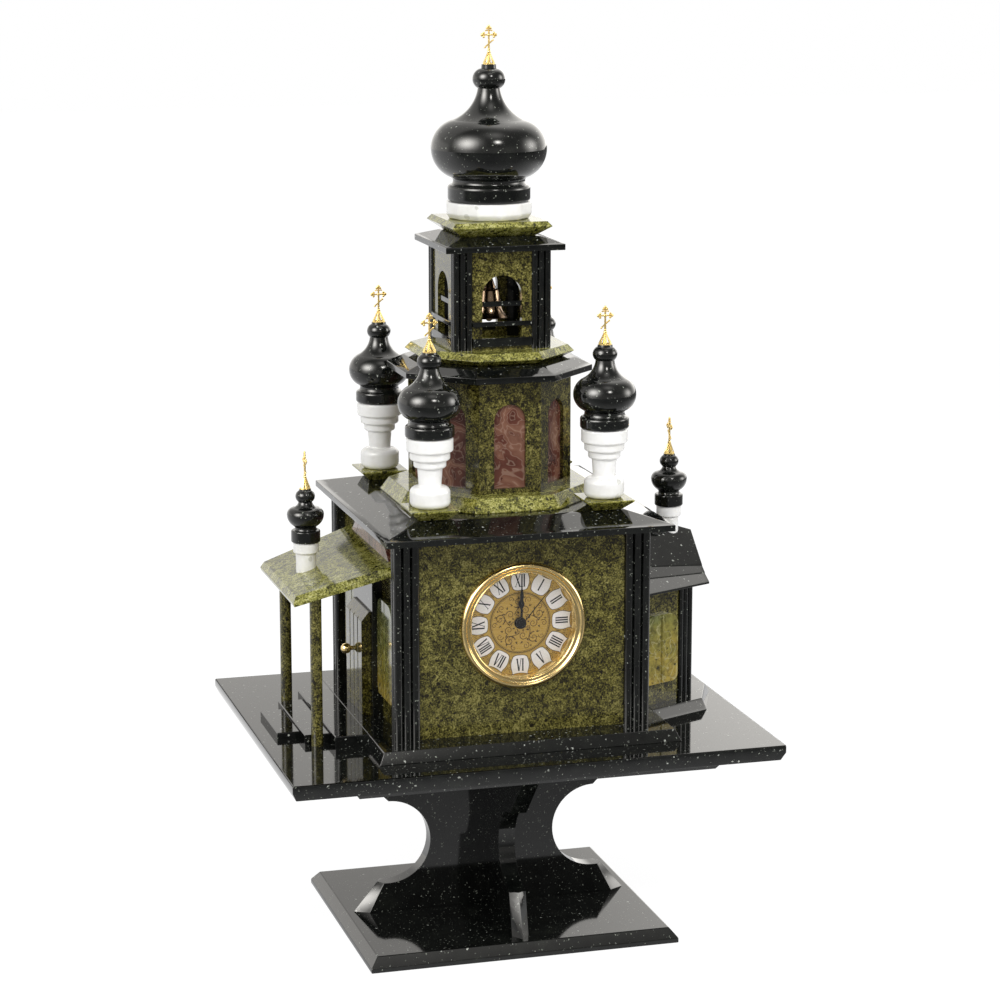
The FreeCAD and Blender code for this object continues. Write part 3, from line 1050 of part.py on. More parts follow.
def build_clock():
    window, rim = "bezel_window_radius", "bezel_radius"
    lens_front = "(lens_thick + lens_play)"
    bezel = turned("clock_bezel", [
        ("(lens_radius + lens_play)", "0"), (rim, "0"), (rim, "0.35 * bezel_proud"),
        (f"{rim} - 0.45 * bezel_rim", "bezel_proud", "through", f"{rim} - 0.12 * bezel_rim",
         "0.78 * bezel_proud"),
        (f"{window} + 0.25 * bezel_rim", "0.84 * bezel_proud"), (window, f"{lens_front} + lens_thick / 2"),
        (window, lens_front), ("(lens_radius + lens_play)", lens_front)])
    node("clock_bezel", on_front(bezel))
    lens = turned("clock_lens", [("0", "0"), ("lens_radius", "0"), ("lens_radius", "lens_thick"),
                                 ("0", "lens_thick")])
    node("clock_lens", on_front(lens))
    inner, ledge = "(cup_radius - cup_wall)", "ledge_inner_radius"
    dial_back = "(dial_depth + dial_thick)"
    cup = turned("clock_cup", [(inner, "0"), ("cup_radius", "0"), ("cup_radius", "-cup_deep"),
                               (inner, "-cup_deep"), (inner, f"-{dial_back} - cup_wall"),
                               (ledge, f"-{dial_back} - cup_wall"), (ledge, f"-{dial_back}"),
                               (inner, f"-{dial_back}")])
    node("clock_cup", on_front(cup))
    grip_top, grip_foot = "-grip_ring_from_face", "(-grip_ring_from_face - grip_ring_wide)"
    grip_bore = "(cup_radius + grip_ring_fit)"
    grip = turned("clock_grip_ring", [(grip_bore, grip_top), ("grip_ring_radius", grip_top),
                                      ("grip_ring_radius", grip_foot), (grip_bore, grip_foot)])
    node("clock_grip_ring", on_front(grip))
    dial = turned("clock_dial", [("(bush_radius + nut_fit)", f"-{dial_back}"), ("dial_radius", f"-{dial_back}"),
                                 ("dial_radius", "-dial_depth"), ("(bush_radius + nut_fit)", "-dial_depth")])
    node("clock_dial", on_front(dial))

    case = new_body("movement_case")
    half = "movement_side / 2"
    plan = rounded(f"-({half})", f"-({half})", half, half, "movement_corner", "movement_corner")
    add_pad(case, "XY_Plane", [plan], f"-{dial_back}", "movement_thick", backward=True)
    add_pad(case, "XY_Plane", [["circle", "0", "0", "bush_radius"]], f"-{dial_back} - 1",
            "dial_thick + bush_proud + 1")
    bore = "(hour_tube_radius + shaft_fit)"
    add_pad(case, "XY_Plane", [["circle", "0", "0", bore]], "bush_proud - dial_depth + 1",
            "bush_proud + 1 + dial_thick + 2 * shaft_deep", cut=True)
    rear = f"(-{dial_back} - movement_thick)"
    room_half, room = "(battery_long / 2 + battery_room)", "(battery_radius + battery_room)"
    tray = [(f"-{room_half}", f"-battery_drop - {room}"), (room_half, f"-battery_drop - {room}"),
            (room_half, f"{room} - battery_drop"), (f"-{room_half}", f"{room} - battery_drop")]
    add_pad(case, "XY_Plane", [tray], rear, f"2 * {room}", cut=True, backward=True)
    add_pad(case, "XY_Plane", [["circle", "0", "knob_offset", "(knob_stem_radius + shaft_fit)"]], rear,
            "knob_stem_long + 0.5", cut=True, backward=True)
    node("movement_case", on_front(case))

    battery = doc.addObject("Part::Cylinder", "battery_cell")
    bind(battery, "Radius", "battery_radius")
    bind(battery, "Height", "battery_long")
    place(battery, "-battery_long / 2", f"-front_wall_face - {rear} - battery_radius - battery_room / 2",
          f"{CLOCK_LEVEL} - battery_drop", ((0, 1, 0), 90))
    node("battery", battery)
    nut = new_body("dial_nut")
    corners = [(f"nut_across / 2 / cos(30) * cos({60 * count})", f"nut_across / 2 / cos(30) * sin({60 * count})")
               for count in range(6)]
    add_pad(nut, "XY_Plane", [corners, ["circle", "0", "0", "(bush_radius + nut_fit)"]], "-dial_depth",
            "nut_thick")
    node("dial_nut", on_front(nut))

    minute_tube = "(hour_tube_radius - hour_tube_wall - shaft_fit)"
    second_pin = f"({minute_tube} - minute_tube_wall - shaft_fit)"
    deep = f"(-{dial_back} - shaft_deep)"
    node("hour_hand", hand("hour_hand", "(hour_hand_level - dial_depth)", "hand_hub_radius",
                           leaf_blade("hour_hand_long", "hand_half_wide", "hour_leaf_half",
                                      "hour_leaf_level"),
                           "hour_tube_radius", "(hour_tube_radius - hour_tube_wall)", deep))
    node("minute_hand", hand("minute_hand", "(minute_hand_level - dial_depth)", "minute_hub_radius",
                             leaf_blade("minute_hand_long", "hand_half_wide", "minute_leaf_half",
                                        "minute_leaf_level"),
                             minute_tube, f"({minute_tube} - minute_tube_wall)", f"({deep} - 1)"))
    thin = "second_half_wide"
    needle = [(f"-{thin}", "-second_hand_tail"), (thin, "-second_hand_tail"), (thin, "second_hand_long"),
              (f"-{thin}", "second_hand_long")]
    second = new_body("second_hand")
    level = "(second_hand_level - dial_depth)"
    add_pad(second, "XY_Plane", [needle], level, "hand_thick")
    add_pad(second, "XY_Plane", [["circle", "0", "0", "second_hub_radius"]], level, "hand_thick")
    add_pad(second, "XY_Plane", [["circle", "0", "0", second_pin]], f"({deep} - 2)",
            f"{level} + hand_thick - {deep} + 2")
    upright = FreeCAD.Rotation(FreeCAD.Vector(1, 0, 0), 90)
    clockwise = FreeCAD.Rotation(FreeCAD.Vector(0, 0, 1), -value("second_hand_angle"))
    second.Placement = FreeCAD.Placement(FreeCAD.Vector(), upright.multiply(clockwise))
    bind(second, "Placement.Base.y", "-front_wall_face")
    bind(second, "Placement.Base.z", CLOCK_LEVEL)
    node("second_hand", second)

    stem_top = "(knob_gap + knob_stem_long)"
    knob = turned("setting_knob", [("0", "-knob_disc_thick"), ("knob_disc_radius", "-knob_disc_thick"),
                                   ("knob_disc_radius", "0"), ("knob_stem_radius", "0"),
                                   ("knob_stem_radius", stem_top), ("0", stem_top)])
    place(knob, "0", f"-front_wall_face - {rear} + knob_gap", f"{CLOCK_LEVEL} + knob_offset",
          ((1, 0, 0), 90))
    node("setting_knob", knob)


build_pedestal()
PLINTH = build_table()
build_house()
CANOPY = build_porch(build_door_side())
CHAPEL_ROOF = build_chapel(PLINTH)
build_towers()
build_small_towers(CANOPY, CHAPEL_ROOF)
build_drum()
build_belfry()
build_bell()
build_dome()
build_clock()
doc.recompute()

faults = [thing.Name for thing in doc.Objects
          if {"Invalid", "Error"} & set(thing.State)]
for name, thing in NODES.items():
    shape = getattr(thing, "Shape", None)
    if shape is None or shape.isNull() or not shape.isValid() or not shape.Solids:
        faults.append(f"{name}: shape")
if faults:
    raise SystemExit("These pieces did not build: " + ", ".join(faults))
for name, thing in NODES.items():
    thing.Shape.exportStep(f"parts/{name}.step")
whole = Part.makeCompound([thing.Shape for thing in NODES.values()])
print(len(NODES), "sub-parts; box", whole.BoundBox)
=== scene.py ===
"""Looks of a stone table clock in the form of a domed church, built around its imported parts.

Everything is in metres, in the frame of the parts: the clock face looks along -Y, +X is to the right
and +Z is up.
"""
import json
import math

import bmesh
import bpy
from mathutils import Matrix, Vector


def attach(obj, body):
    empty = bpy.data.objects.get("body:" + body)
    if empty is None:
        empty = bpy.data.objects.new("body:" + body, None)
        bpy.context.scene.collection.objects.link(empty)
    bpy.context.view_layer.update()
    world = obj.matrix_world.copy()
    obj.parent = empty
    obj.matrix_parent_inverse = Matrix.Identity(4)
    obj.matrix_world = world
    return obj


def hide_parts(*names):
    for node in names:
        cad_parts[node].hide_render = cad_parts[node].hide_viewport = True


MM = 0.001

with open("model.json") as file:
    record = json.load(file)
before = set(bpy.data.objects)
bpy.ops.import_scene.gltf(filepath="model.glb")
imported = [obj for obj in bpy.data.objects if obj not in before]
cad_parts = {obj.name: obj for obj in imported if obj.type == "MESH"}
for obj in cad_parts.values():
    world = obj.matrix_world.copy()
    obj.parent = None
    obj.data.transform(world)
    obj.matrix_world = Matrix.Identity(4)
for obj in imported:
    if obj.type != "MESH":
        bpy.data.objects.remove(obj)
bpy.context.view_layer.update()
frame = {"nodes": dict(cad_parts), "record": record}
nodes = frame["nodes"]


# Node helpers

def new_material(name):
    material = bpy.data.materials.new(name)
    material.use_nodes = True
    tree = material.node_tree
    surface = tree.nodes["Principled BSDF"]
    return material, tree, surface


def link(tree, source, target):
    tree.links.new(source, target)


def set_inputs(node, **values):
    """Set the node's own sockets; an underscore stands for the space in a socket's name."""
    for name, value in values.items():
        node.inputs[name.replace("_", " ")].default_value = value


def ramp(tree, factor, stops):
    """Colour ramp fed by a factor; a stop is (position, colour)."""
    made = tree.nodes.new("ShaderNodeValToRGB")
    bar = made.color_ramp
    while len(bar.elements) < len(stops):
        bar.elements.new(0.5)
    for element, (position, colour) in zip(bar.elements, stops):
        element.position = position
        element.color = (*colour, 1.0)
    link(tree, factor, made.inputs["Fac"])
    return made.outputs["Color"]


def grey(level):
    """Neutral colour of a level."""
    return (level, level, level)


def mix_colour(tree, factor, first, second, blend="MIX"):
    made = tree.nodes.new("ShaderNodeMix")
    made.data_type = "RGBA"
    made.blend_type = blend
    for socket, given in ((made.inputs[0], factor), (made.inputs[6], first), (made.inputs[7], second)):
        if isinstance(given, (int, float)):
            socket.default_value = given
        elif isinstance(given, tuple):
            socket.default_value = (*given, 1.0)
        else:
            link(tree, given, socket)
    return made.outputs[2]


def new_group(name, inputs, outputs):
    """Node group with named sockets; returns the tree and its input and output nodes."""
    tree = bpy.data.node_groups.new(name, "ShaderNodeTree")
    for socket, kind, value in inputs:
        made = tree.interface.new_socket(socket, in_out="INPUT", socket_type=kind)
        if value is not None:
            made.default_value = value
    for socket, kind in outputs:
        tree.interface.new_socket(socket, in_out="OUTPUT", socket_type=kind)
    return tree, tree.nodes.new("NodeGroupInput"), tree.nodes.new("NodeGroupOutput")


def place_group(tree, group, **values):
    """The group placed in a tree, with the values of its own there."""
    made = tree.nodes.new("ShaderNodeGroup")
    made.node_tree = group
    set_inputs(made, **values)
    return made


def noise(tree, vector, scale, detail=3.0, roughness=0.55, distortion=0.0):
    made = tree.nodes.new("ShaderNodeTexNoise")
    set_inputs(made, Detail=detail, Roughness=roughness, Distortion=distortion)
    if isinstance(scale, (int, float)):
        made.inputs["Scale"].default_value = scale
    else:
        link(tree, scale, made.inputs["Scale"])
    link(tree, vector, made.inputs["Vector"])
    return made


def math_node(tree, operation, first, second=None, third=None, clamp=False):
    made = tree.nodes.new("ShaderNodeMath")
    made.operation = operation
    made.use_clamp = clamp
    for socket, given in zip(made.inputs, (first, second, third)):
        if given is None:
            continue
        if isinstance(given, (int, float)):
            socket.default_value = given
        else:
            link(tree, given, socket)
    return made.outputs[0]


def graded(tree, value, low, high, start, end):
    """Eased change from start to end while value goes from low to high."""
    grade = tree.nodes.new("ShaderNodeMapRange")
    grade.interpolation_type = "SMOOTHSTEP"
    set_inputs(grade, From_Min=low, From_Max=high, To_Min=start, To_Max=end)
    link(tree, value, grade.inputs["Value"])
    return grade.outputs["Result"]


def split_vector(tree, vector):
    """X, Y and Z of a vector as three outputs."""
    made = tree.nodes.new("ShaderNodeSeparateXYZ")
    link(tree, vector, made.inputs["Vector"])
    return made.outputs["X"], made.outputs["Y"], made.outputs["Z"]


def ray_masks(tree):
    """Masks of what the camera sees itself or through glass, and of what polish mirrors."""
    path = tree.nodes.new("ShaderNodeLightPath")
    seen = math_node(tree, "MAXIMUM", path.outputs["Is Camera Ray"], path.outputs["Is Transmission Ray"])
    return seen, path.outputs["Is Glossy Ray"]


def moved_by_noise(tree, vector, reach, scale):
    """Coordinates pushed about by a noise, so that round cells turn into ragged ones."""
    wander = noise(tree, vector, scale, 2.0)
    centred = tree.nodes.new("ShaderNodeVectorMath")
    centred.operation = "MULTIPLY_ADD"
    link(tree, wander.outputs["Color"], centred.inputs[0])
    centred.inputs[1].default_value = (reach, reach, reach)
    link(tree, vector, centred.inputs[2])
    return centred.outputs["Vector"]


def make_fleck_group():
    """Sparse ragged flecks through the stone: a mask of how strong each fleck is."""
    tree, inputs, outputs = new_group(
        "stone_flecks",
        [("Vector", "NodeSocketVector", None), ("Scale", "NodeSocketFloat", 230.0),
         ("Size", "NodeSocketFloat", 0.13), ("Share", "NodeSocketFloat", 0.5)],
        [("Mask", "NodeSocketFloat")])
    ragged = moved_by_noise(tree, inputs.outputs["Vector"], 0.0022, 900.0)
    cells = tree.nodes.new("ShaderNodeTexVoronoi")
    link(tree, ragged, cells.inputs["Vector"])
    link(tree, inputs.outputs["Scale"], cells.inputs["Scale"])
    split = tree.nodes.new("ShaderNodeSeparateColor")
    link(tree, cells.outputs["Color"], split.inputs["Color"])
    size = math_node(tree, "MULTIPLY", inputs.outputs["Size"], split.outputs["Red"])
    within = math_node(tree, "SUBTRACT", size, cells.outputs["Distance"])
    inside = math_node(tree, "MULTIPLY", within, 14.0, clamp=True)
    present = math_node(tree, "LESS_THAN", split.outputs["Green"], inputs.outputs["Share"])
    strength = math_node(tree, "MULTIPLY", inside, present)
    link(tree, math_node(tree, "MULTIPLY", strength, split.outputs["Blue"]), outputs.inputs["Mask"])
    return tree


def make_mottle_group():
    """Mottling of serpentine: fine streaks, dark clots at two scales and a slow change of tone."""
    tree, inputs, outputs = new_group(
        "serpentine_mottle",
        [("Vector", "NodeSocketVector", None), ("Grain", "NodeSocketFloat", 420.0),
         ("Clots", "NodeSocketFloat", 150.0), ("Clot Level", "NodeSocketFloat", 0.5)],
        [("Streaks", "NodeSocketFloat"), ("Dark", "NodeSocketFloat"), ("Tone", "NodeSocketFloat")])
    vector = inputs.outputs["Vector"]
    fine = noise(tree, vector, inputs.outputs["Grain"], 3.0, 0.7, 0.6)
    patches = noise(tree, vector, 135.0, 4.0, 0.68, 0.8)
    streaks = math_node(tree, "MULTIPLY_ADD", fine.outputs["Fac"], 0.62,
                        math_node(tree, "MULTIPLY", patches.outputs["Fac"], 0.38))
    tone = noise(tree, vector, 16.0, 3.0, 0.55)
    clots = noise(tree, vector, inputs.outputs["Clots"], 5.0, 0.68, 0.4)
    gathered = math_node(tree, "MULTIPLY_ADD", tone.outputs["Fac"], 0.45, clots.outputs["Fac"])
    beyond = math_node(tree, "SUBTRACT", gathered, inputs.outputs["Clot Level"])
    large = math_node(tree, "MULTIPLY", beyond, 11.0, clamp=True)
    specks = fleck_mask(tree, vector, 360.0, 0.75, 0.6)
    link(tree, streaks, outputs.inputs["Streaks"])
    link(tree, math_node(tree, "MAXIMUM", large, specks), outputs.inputs["Dark"])
    link(tree, tone.outputs["Fac"], outputs.inputs["Tone"])
    return tree


def fleck_mask(tree, vector, scale, size, share):
    """Flecks in one material: how close their cells are, how large they grow and what share is there."""
    made = place_group(tree, FLECKS, Scale=scale, Size=size, Share=share)
    link(tree, vector, made.inputs["Vector"])
    return made.outputs["Mask"]


FLECKS = make_fleck_group()
MOTTLE = make_mottle_group()


def stone_place(tree):
    """Coordinates in metres that run right through each stone."""
    return tree.nodes.new("ShaderNodeTexCoord").outputs["Object"]


# Materials

def black_serpentine(name, roughness, flecked_share=0.8):
    """Near-black stone with pale flecks of two sizes."""
    material, tree, surface = new_material(name)
    where = stone_place(tree)
    cloud = noise(tree, where, 70.0, 5.0, 0.65)
    ground = ramp(tree, cloud.outputs["Fac"], ((0.35, (0.0022, 0.0026, 0.0024)),
                                               (0.58, (0.006, 0.0068, 0.006)),
                                               (0.8, (0.014, 0.016, 0.012))))
    coarse = fleck_mask(tree, where, 260.0, 0.26, flecked_share)
    fine = fleck_mask(tree, where, 560.0, 0.36, 0.4)
    flecked = mix_colour(tree, coarse, ground, (0.5, 0.52, 0.47))
    dusted = mix_colour(tree, fine, flecked, (0.28, 0.3, 0.25))
    link(tree, dusted, surface.inputs["Base Color"])
    set_inputs(surface, Roughness=roughness, IOR=1.56)
    return material


def green_serpentine(name, streak_colours, dark_colour, clot_level):
    """Mottled green stone, yellower in places, with dark clots where they pass the level."""
    material, tree, surface = new_material(name)
    where = stone_place(tree)
    mottle = place_group(tree, MOTTLE, Grain=820.0, Clots=230.0, Clot_Level=clot_level)
    link(tree, where, mottle.inputs["Vector"])
    body = ramp(tree, mottle.outputs["Streaks"], streak_colours)
    yellowing = ramp(tree, mottle.outputs["Tone"], ((0.4, grey(0.0)), (0.7, grey(0.5))))
    warmed = mix_colour(tree, yellowing, body, (0.30, 0.27, 0.045), "OVERLAY")
    spotted = mix_colour(tree, mottle.outputs["Dark"], warmed, dark_colour)
    link(tree, spotted, surface.inputs["Base Color"])
    set_inputs(surface, Roughness=0.1, IOR=1.54)
    return material


def yellow_green_pane(name):
    """Window stone: green above, honey yellow below, with small dark spots and pale threads."""
    material, tree, surface = new_material(name)
    where = stone_place(tree)
    height = split_vector(tree, where)[2]
    rise = tree.nodes.new("ShaderNodeMapRange")
    set_inputs(rise, From_Min=0.178, From_Max=0.25)
    wander = noise(tree, where, 60.0, 4.0, 0.6)
    shift = math_node(tree, "MULTIPLY_ADD", wander.outputs["Fac"], 0.09, -0.045)
    link(tree, math_node(tree, "ADD", height, shift), rise.inputs["Value"])
    body = ramp(tree, rise.outputs["Result"], ((0.0, (0.42, 0.3, 0.05)), (0.4, (0.28, 0.23, 0.04)),
                                               (0.7, (0.17, 0.17, 0.04)), (1.0, (0.13, 0.15, 0.06))))
    streaks = noise(tree, where, 240.0, 5.0, 0.65, 0.6)
    shade = ramp(tree, streaks.outputs["Fac"],
                 ((0.32, grey(0.35)), (0.5, grey(0.85)), (0.7, grey(1.25))))
    clouded = mix_colour(tree, 1.0, body, shade, "MULTIPLY")
    threads = noise(tree, where, 55.0, 3.0, 0.5, 1.5)
    near_level = math_node(tree, "ABSOLUTE", math_node(tree, "SUBTRACT", threads.outputs["Fac"], 0.5))
    thread = ramp(tree, near_level, ((0.0, grey(0.55)), (0.012, grey(0.25)), (0.022, grey(0.0))))
    veined = mix_colour(tree, thread, clouded, (0.5, 0.47, 0.24))
    flecks = fleck_mask(tree, where, 300.0, 0.5, 0.5)
    coloured = mix_colour(tree, flecks, veined, (0.02, 0.02, 0.008))
    link(tree, coloured, surface.inputs["Base Color"])
    set_inputs(surface, Roughness=0.1)
    return material


def white_marble(name):
    """White marble, faintly clouded, with a few grey flecks."""
    material, tree, surface = new_material(name)
    where = stone_place(tree)
    cloud = noise(tree, where, 90.0, 5.0, 0.6)
    ground = ramp(tree, cloud.outputs["Fac"], ((0.3, (0.82, 0.81, 0.78)), (0.5, (0.89, 0.885, 0.865)),
                                               (0.75, (0.92, 0.915, 0.9))))
    flecks = fleck_mask(tree, where, 150.0, 0.42, 0.22)
    softened = math_node(tree, "MULTIPLY", flecks, 0.6)
    coloured = mix_colour(tree, softened, ground, (0.42, 0.42, 0.36))
    link(tree, coloured, surface.inputs["Base Color"])
    set_inputs(surface, Roughness=0.24, Subsurface_Weight=0.12, Subsurface_Radius=(0.004, 0.004, 0.0035))
    return material


def red_jasper(name):
    """Jasper in cloudy browns and pinks, with agate banding round each cloud."""
    material, tree, surface = new_material(name)
    where = stone_place(tree)
    cloud = noise(tree, where, 38.0, 3.0, 0.55, 0.5)
    body = ramp(tree, cloud.outputs["Fac"], ((0.36, (0.055, 0.016, 0.011)), (0.46, (0.12, 0.04, 0.026)),
                                             (0.54, (0.22, 0.105, 0.068)), (0.66, (0.08, 0.025, 0.018))))
    wave = math_node(tree, "SINE", math_node(tree, "MULTIPLY", cloud.outputs["Fac"], 95.0))
    line = ramp(tree, wave, ((0.0, grey(0.0)), (0.65, grey(0.0)), (1.0, grey(0.45))))
    banded = mix_colour(tree, line, body, (0.36, 0.24, 0.18))
    flecks = fleck_mask(tree, where, 260.0, 0.5, 0.35)
    coloured = mix_colour(tree, flecks, banded, (0.06, 0.02, 0.015))
    link(tree, coloured, surface.inputs["Base Color"])
    set_inputs(surface, Roughness=0.12)
    return material


WEAR = 0.06


def polished_metal(name, colour, roughness, metallic=1.0):
    """Metal whose polish and tone vary a little, by the wear either way."""
    material, tree, surface = new_material(name)
    where = stone_place(tree)
    haze = noise(tree, where, 300.0, 3.0)
    varied = ramp(tree, haze.outputs["Fac"],
                  ((0.3, grey(roughness - WEAR)), (0.7, grey(roughness + WEAR))))
    link(tree, varied, surface.inputs["Roughness"])
    darker = tuple(0.93 * part for part in colour)
    tone = ramp(tree, haze.outputs["Fac"], ((0.3, darker), (0.7, colour)))
    link(tree, tone, surface.inputs["Base Color"])
    set_inputs(surface, Metallic=metallic)
    return material


def plain_finish(name, colour, roughness, relief=0.0, gloss=0.5):
    """Moulded or painted finish with a faint grain."""
    material, tree, surface = new_material(name)
    where = stone_place(tree)
    grains = noise(tree, where, 900.0, 3.0)
    darker = tuple(0.85 * part for part in colour)
    tone = ramp(tree, grains.outputs["Fac"], ((0.3, darker), (0.7, colour)))
    link(tree, tone, surface.inputs["Base Color"])
    set_inputs(surface, Roughness=roughness, Specular_IOR_Level=gloss)
    if relief:
        bump = tree.nodes.new("ShaderNodeBump")
        set_inputs(bump, Strength=relief, Distance=0.2 * MM)
        link(tree, grains.outputs["Fac"], bump.inputs["Height"])
        link(tree, bump.outputs["Normal"], surface.inputs["Normal"])
    return material


def lens_glass(name):
    material, _, surface = new_material(name)
    set_inputs(surface, Base_Color=(1.0, 1.0, 1.0, 1.0), Roughness=0.02, IOR=1.3,
               Transmission_Weight=1.0)
    return material


def brushed_gold_dial(name):
    """Gold brushed from side to side: the grain is stretched along X."""
    material, tree, surface = new_material(name)
    where = stone_place(tree)
    stretched = tree.nodes.new("ShaderNodeMapping")
    set_inputs(stretched, Scale=(60.0, 60.0, 1400.0))
    link(tree, where, stretched.inputs["Vector"])
    brushing = noise(tree, stretched.outputs["Vector"], 1.0, 4.0)
    tone = ramp(tree, brushing.outputs["Fac"], ((0.3, (0.33, 0.2, 0.035)), (0.7, (0.46, 0.3, 0.06))))
    link(tree, tone, surface.inputs["Base Color"])
    set_inputs(surface, Metallic=0.55, Roughness=0.36)
    return material


BLACK = black_serpentine("black_serpentine", 0.06)
BLACK_TURNED = black_serpentine("black_serpentine_turned", 0.1, 0.35)
BLACK_CLOSE = black_serpentine("black_serpentine_close_grained", 0.16, 0.12)
BLACK_FOOT = black_serpentine("black_serpentine_foot", 0.07, 0.2)
WALL_GREEN = green_serpentine(
    "green_serpentine_walls",
    ((0.4, (0.008, 0.007, 0.002)), (0.455, (0.032, 0.028, 0.007)), (0.505, (0.086, 0.078, 0.018)),
     (0.55, (0.165, 0.148, 0.038)), (0.61, (0.29, 0.26, 0.09))),
    (0.009, 0.007, 0.003), 0.81)
# Paler copy of the wall stone for the canopy and plates. The stone is lighter there, and its colour is
# also raised to paint in the light that these upward faces catch from above.
PALE_LIT_GREEN = green_serpentine(
    "green_serpentine_pale_lit",
    ((0.4, (0.02, 0.021, 0.004)), (0.455, (0.1, 0.1, 0.016)), (0.505, (0.24, 0.235, 0.045)),
     (0.55, (0.38, 0.37, 0.1)), (0.61, (0.52, 0.5, 0.24))),
    (0.012, 0.012, 0.004), 0.84)
PANE = yellow_green_pane("yellow_green_stone")
MARBLE = white_marble("white_marble")
JASPER = red_jasper("red_jasper")
BRASS = polished_metal("polished_brass", (0.97, 0.74, 0.34), 0.2)
BRONZE = polished_metal("bell_bronze", (0.34, 0.24, 0.16), 0.2)
GLASS = lens_glass("clear_glass")
DIAL_GOLD = brushed_gold_dial("gold_dial")
BLACK_PLASTIC = plain_finish("black_plastic", (0.02, 0.02, 0.021), 0.5, relief=0.3)
RUBBER = plain_finish("black_rubber", (0.015, 0.015, 0.015), 0.75, relief=0.4)
BATTERY = plain_finish("battery_sleeve", (0.09, 0.09, 0.1), 0.35)
BLACK_PAINT = plain_finish("black_paint", (0.005, 0.005, 0.005), 0.4, gloss=0.12)
ENAMEL = plain_finish("white_enamel", (0.78, 0.745, 0.71), 0.25)
ENGRAVING = plain_finish("dial_engraving", (0.075, 0.042, 0.011), 0.4, gloss=0.2)
BRASS_BRIGHT = polished_metal("bright_cast_brass", (0.98, 0.73, 0.27), 0.24, metallic=0.75)
DARK_BRASS = polished_metal("blackened_brass", (0.012, 0.01, 0.008), 0.4)

FINISHES = {
    "black_serpentine": BLACK, "green_serpentine": WALL_GREEN, "yellow_green_stone": PANE,
    "white_marble": MARBLE, "red_jasper": JASPER, "polished_brass": BRASS, "bell_bronze": BRONZE,
    "clear_glass": GLASS, "gold_dial": DIAL_GOLD, "black_plastic": BLACK_PLASTIC,
    "black_rubber": RUBBER, "battery_sleeve": BATTERY, "black_paint": BLACK_PAINT}
OWN_FINISH = {"dome_onion": BLACK_TURNED, "tower_onions": BLACK_TURNED}
# The upward-facing canopy and plates take the paler stone, whose colour also carries painted light from
# above.
for pale in ("porch_canopy", "tower_plates", "drum_base_plate", "belfry_base_plate",
             "dome_base_plate"):
    OWN_FINISH[pale] = PALE_LIT_GREEN
for close_grained in ("corner_columns", "chapel_columns", "belfry_columns", "small_onions"):
    OWN_FINISH[close_grained] = BLACK_CLOSE
for foot in ("base_slab", "pedestal_wide_plate", "pedestal_cross_plates", "under_table_plate"):
    OWN_FINISH[foot] = BLACK_FOOT

for entry in frame["record"]["subparts"]:
    name = entry["node"]
    finish = OWN_FINISH.get(name, FINISHES[entry["material_slot"]])
    for material_slot in nodes[name].material_slots:
        material_slot.material = finish


def soften(node_name, width, segments=2):
    """Fine rounded arrises, which catch the light as polished stone does."""
    shape = nodes[node_name]
    weld = shape.modifiers.new("joined_corners", "WELD")
    weld.merge_threshold = 0.002 * MM
    bevel = shape.modifiers.new("arris", "BEVEL")
    bevel.width = width * MM
    bevel.segments = segments
    bevel.limit_method = "ANGLE"
    bevel.angle_limit = math.radians(28)
    even = shape.modifiers.new("even_shading", "WEIGHTED_NORMAL")
    even.weight = 100


ARRISES = {
    0.6: ("base_slab", "table_slab"),
    0.45: ("pedestal_wide_plate", "pedestal_cross_plates", "under_table_plate", "plinth_slab",
           "corner_columns", "main_roof", "chapel_base"),
    0.35: ("porch_steps", "door_slab", "chapel_columns", "drum_roof", "belfry_columns", "belfry_roof",
           "porch_canopy", "tower_plates", "drum_base_plate", "belfry_base_plate", "dome_base_plate"),
    0.2: ("door_surround", "belfry_rails", "jasper_frieze", "drum_jasper_panels", "chapel_roof"),
    0.9: ("wall_window_panels", "chapel_window_panels"),
}
for arris, stones in ARRISES.items():
    for stone in stones:
        soften(stone, arris)
soften("dome_drum", 1.6, 4)


# Pieces made here

def make_piece(name, mesh, finish, body, replaced=()):
    """Piece of the visual model that rides on a body and takes the place of the replaced nodes."""
    piece = bpy.data.objects.new(name, mesh)
    bpy.context.scene.collection.objects.link(piece)
    mesh.materials.append(finish)
    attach(piece, body)
    if replaced:
        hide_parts(*replaced)


def finish_mesh(shape, name, smooth_below=None):
    """Mesh from a bmesh; faces meeting at less than the angle are shaded as one."""
    bmesh.ops.recalc_face_normals(shape, faces=shape.faces)
    mesh = bpy.data.meshes.new(name)
    shape.to_mesh(mesh)
    shape.free()
    if smooth_below:
        mesh.shade_smooth()
        mesh.set_sharp_from_angle(angle=math.radians(smooth_below))
    return mesh


def arc_through(start, middle, end, steps):
    """Points after start along the circle through three points."""
    (ax, ay), (bx, by), (cx, cy) = start, middle, end
    double = 2 * (ax * (by - cy) + bx * (cy - ay) + cx * (ay - by))
    a2, b2, c2 = ax * ax + ay * ay, bx * bx + by * by, cx * cx + cy * cy
    x = (a2 * (by - cy) + b2 * (cy - ay) + c2 * (ay - by)) / double
    y = (a2 * (cx - bx) + b2 * (ax - cx) + c2 * (bx - ax)) / double
    radius = math.hypot(ax - x, ay - y)
    first, mid, last = (math.atan2(q - y, p - x) for p, q in (start, middle, end))
    turn = (last - first) % math.tau
    if (mid - first) % math.tau > turn:
        turn -= math.tau
    return [(x + radius * math.cos(first + turn * step / steps),
             y + radius * math.sin(first + turn * step / steps)) for step in range(1, steps + 1)]


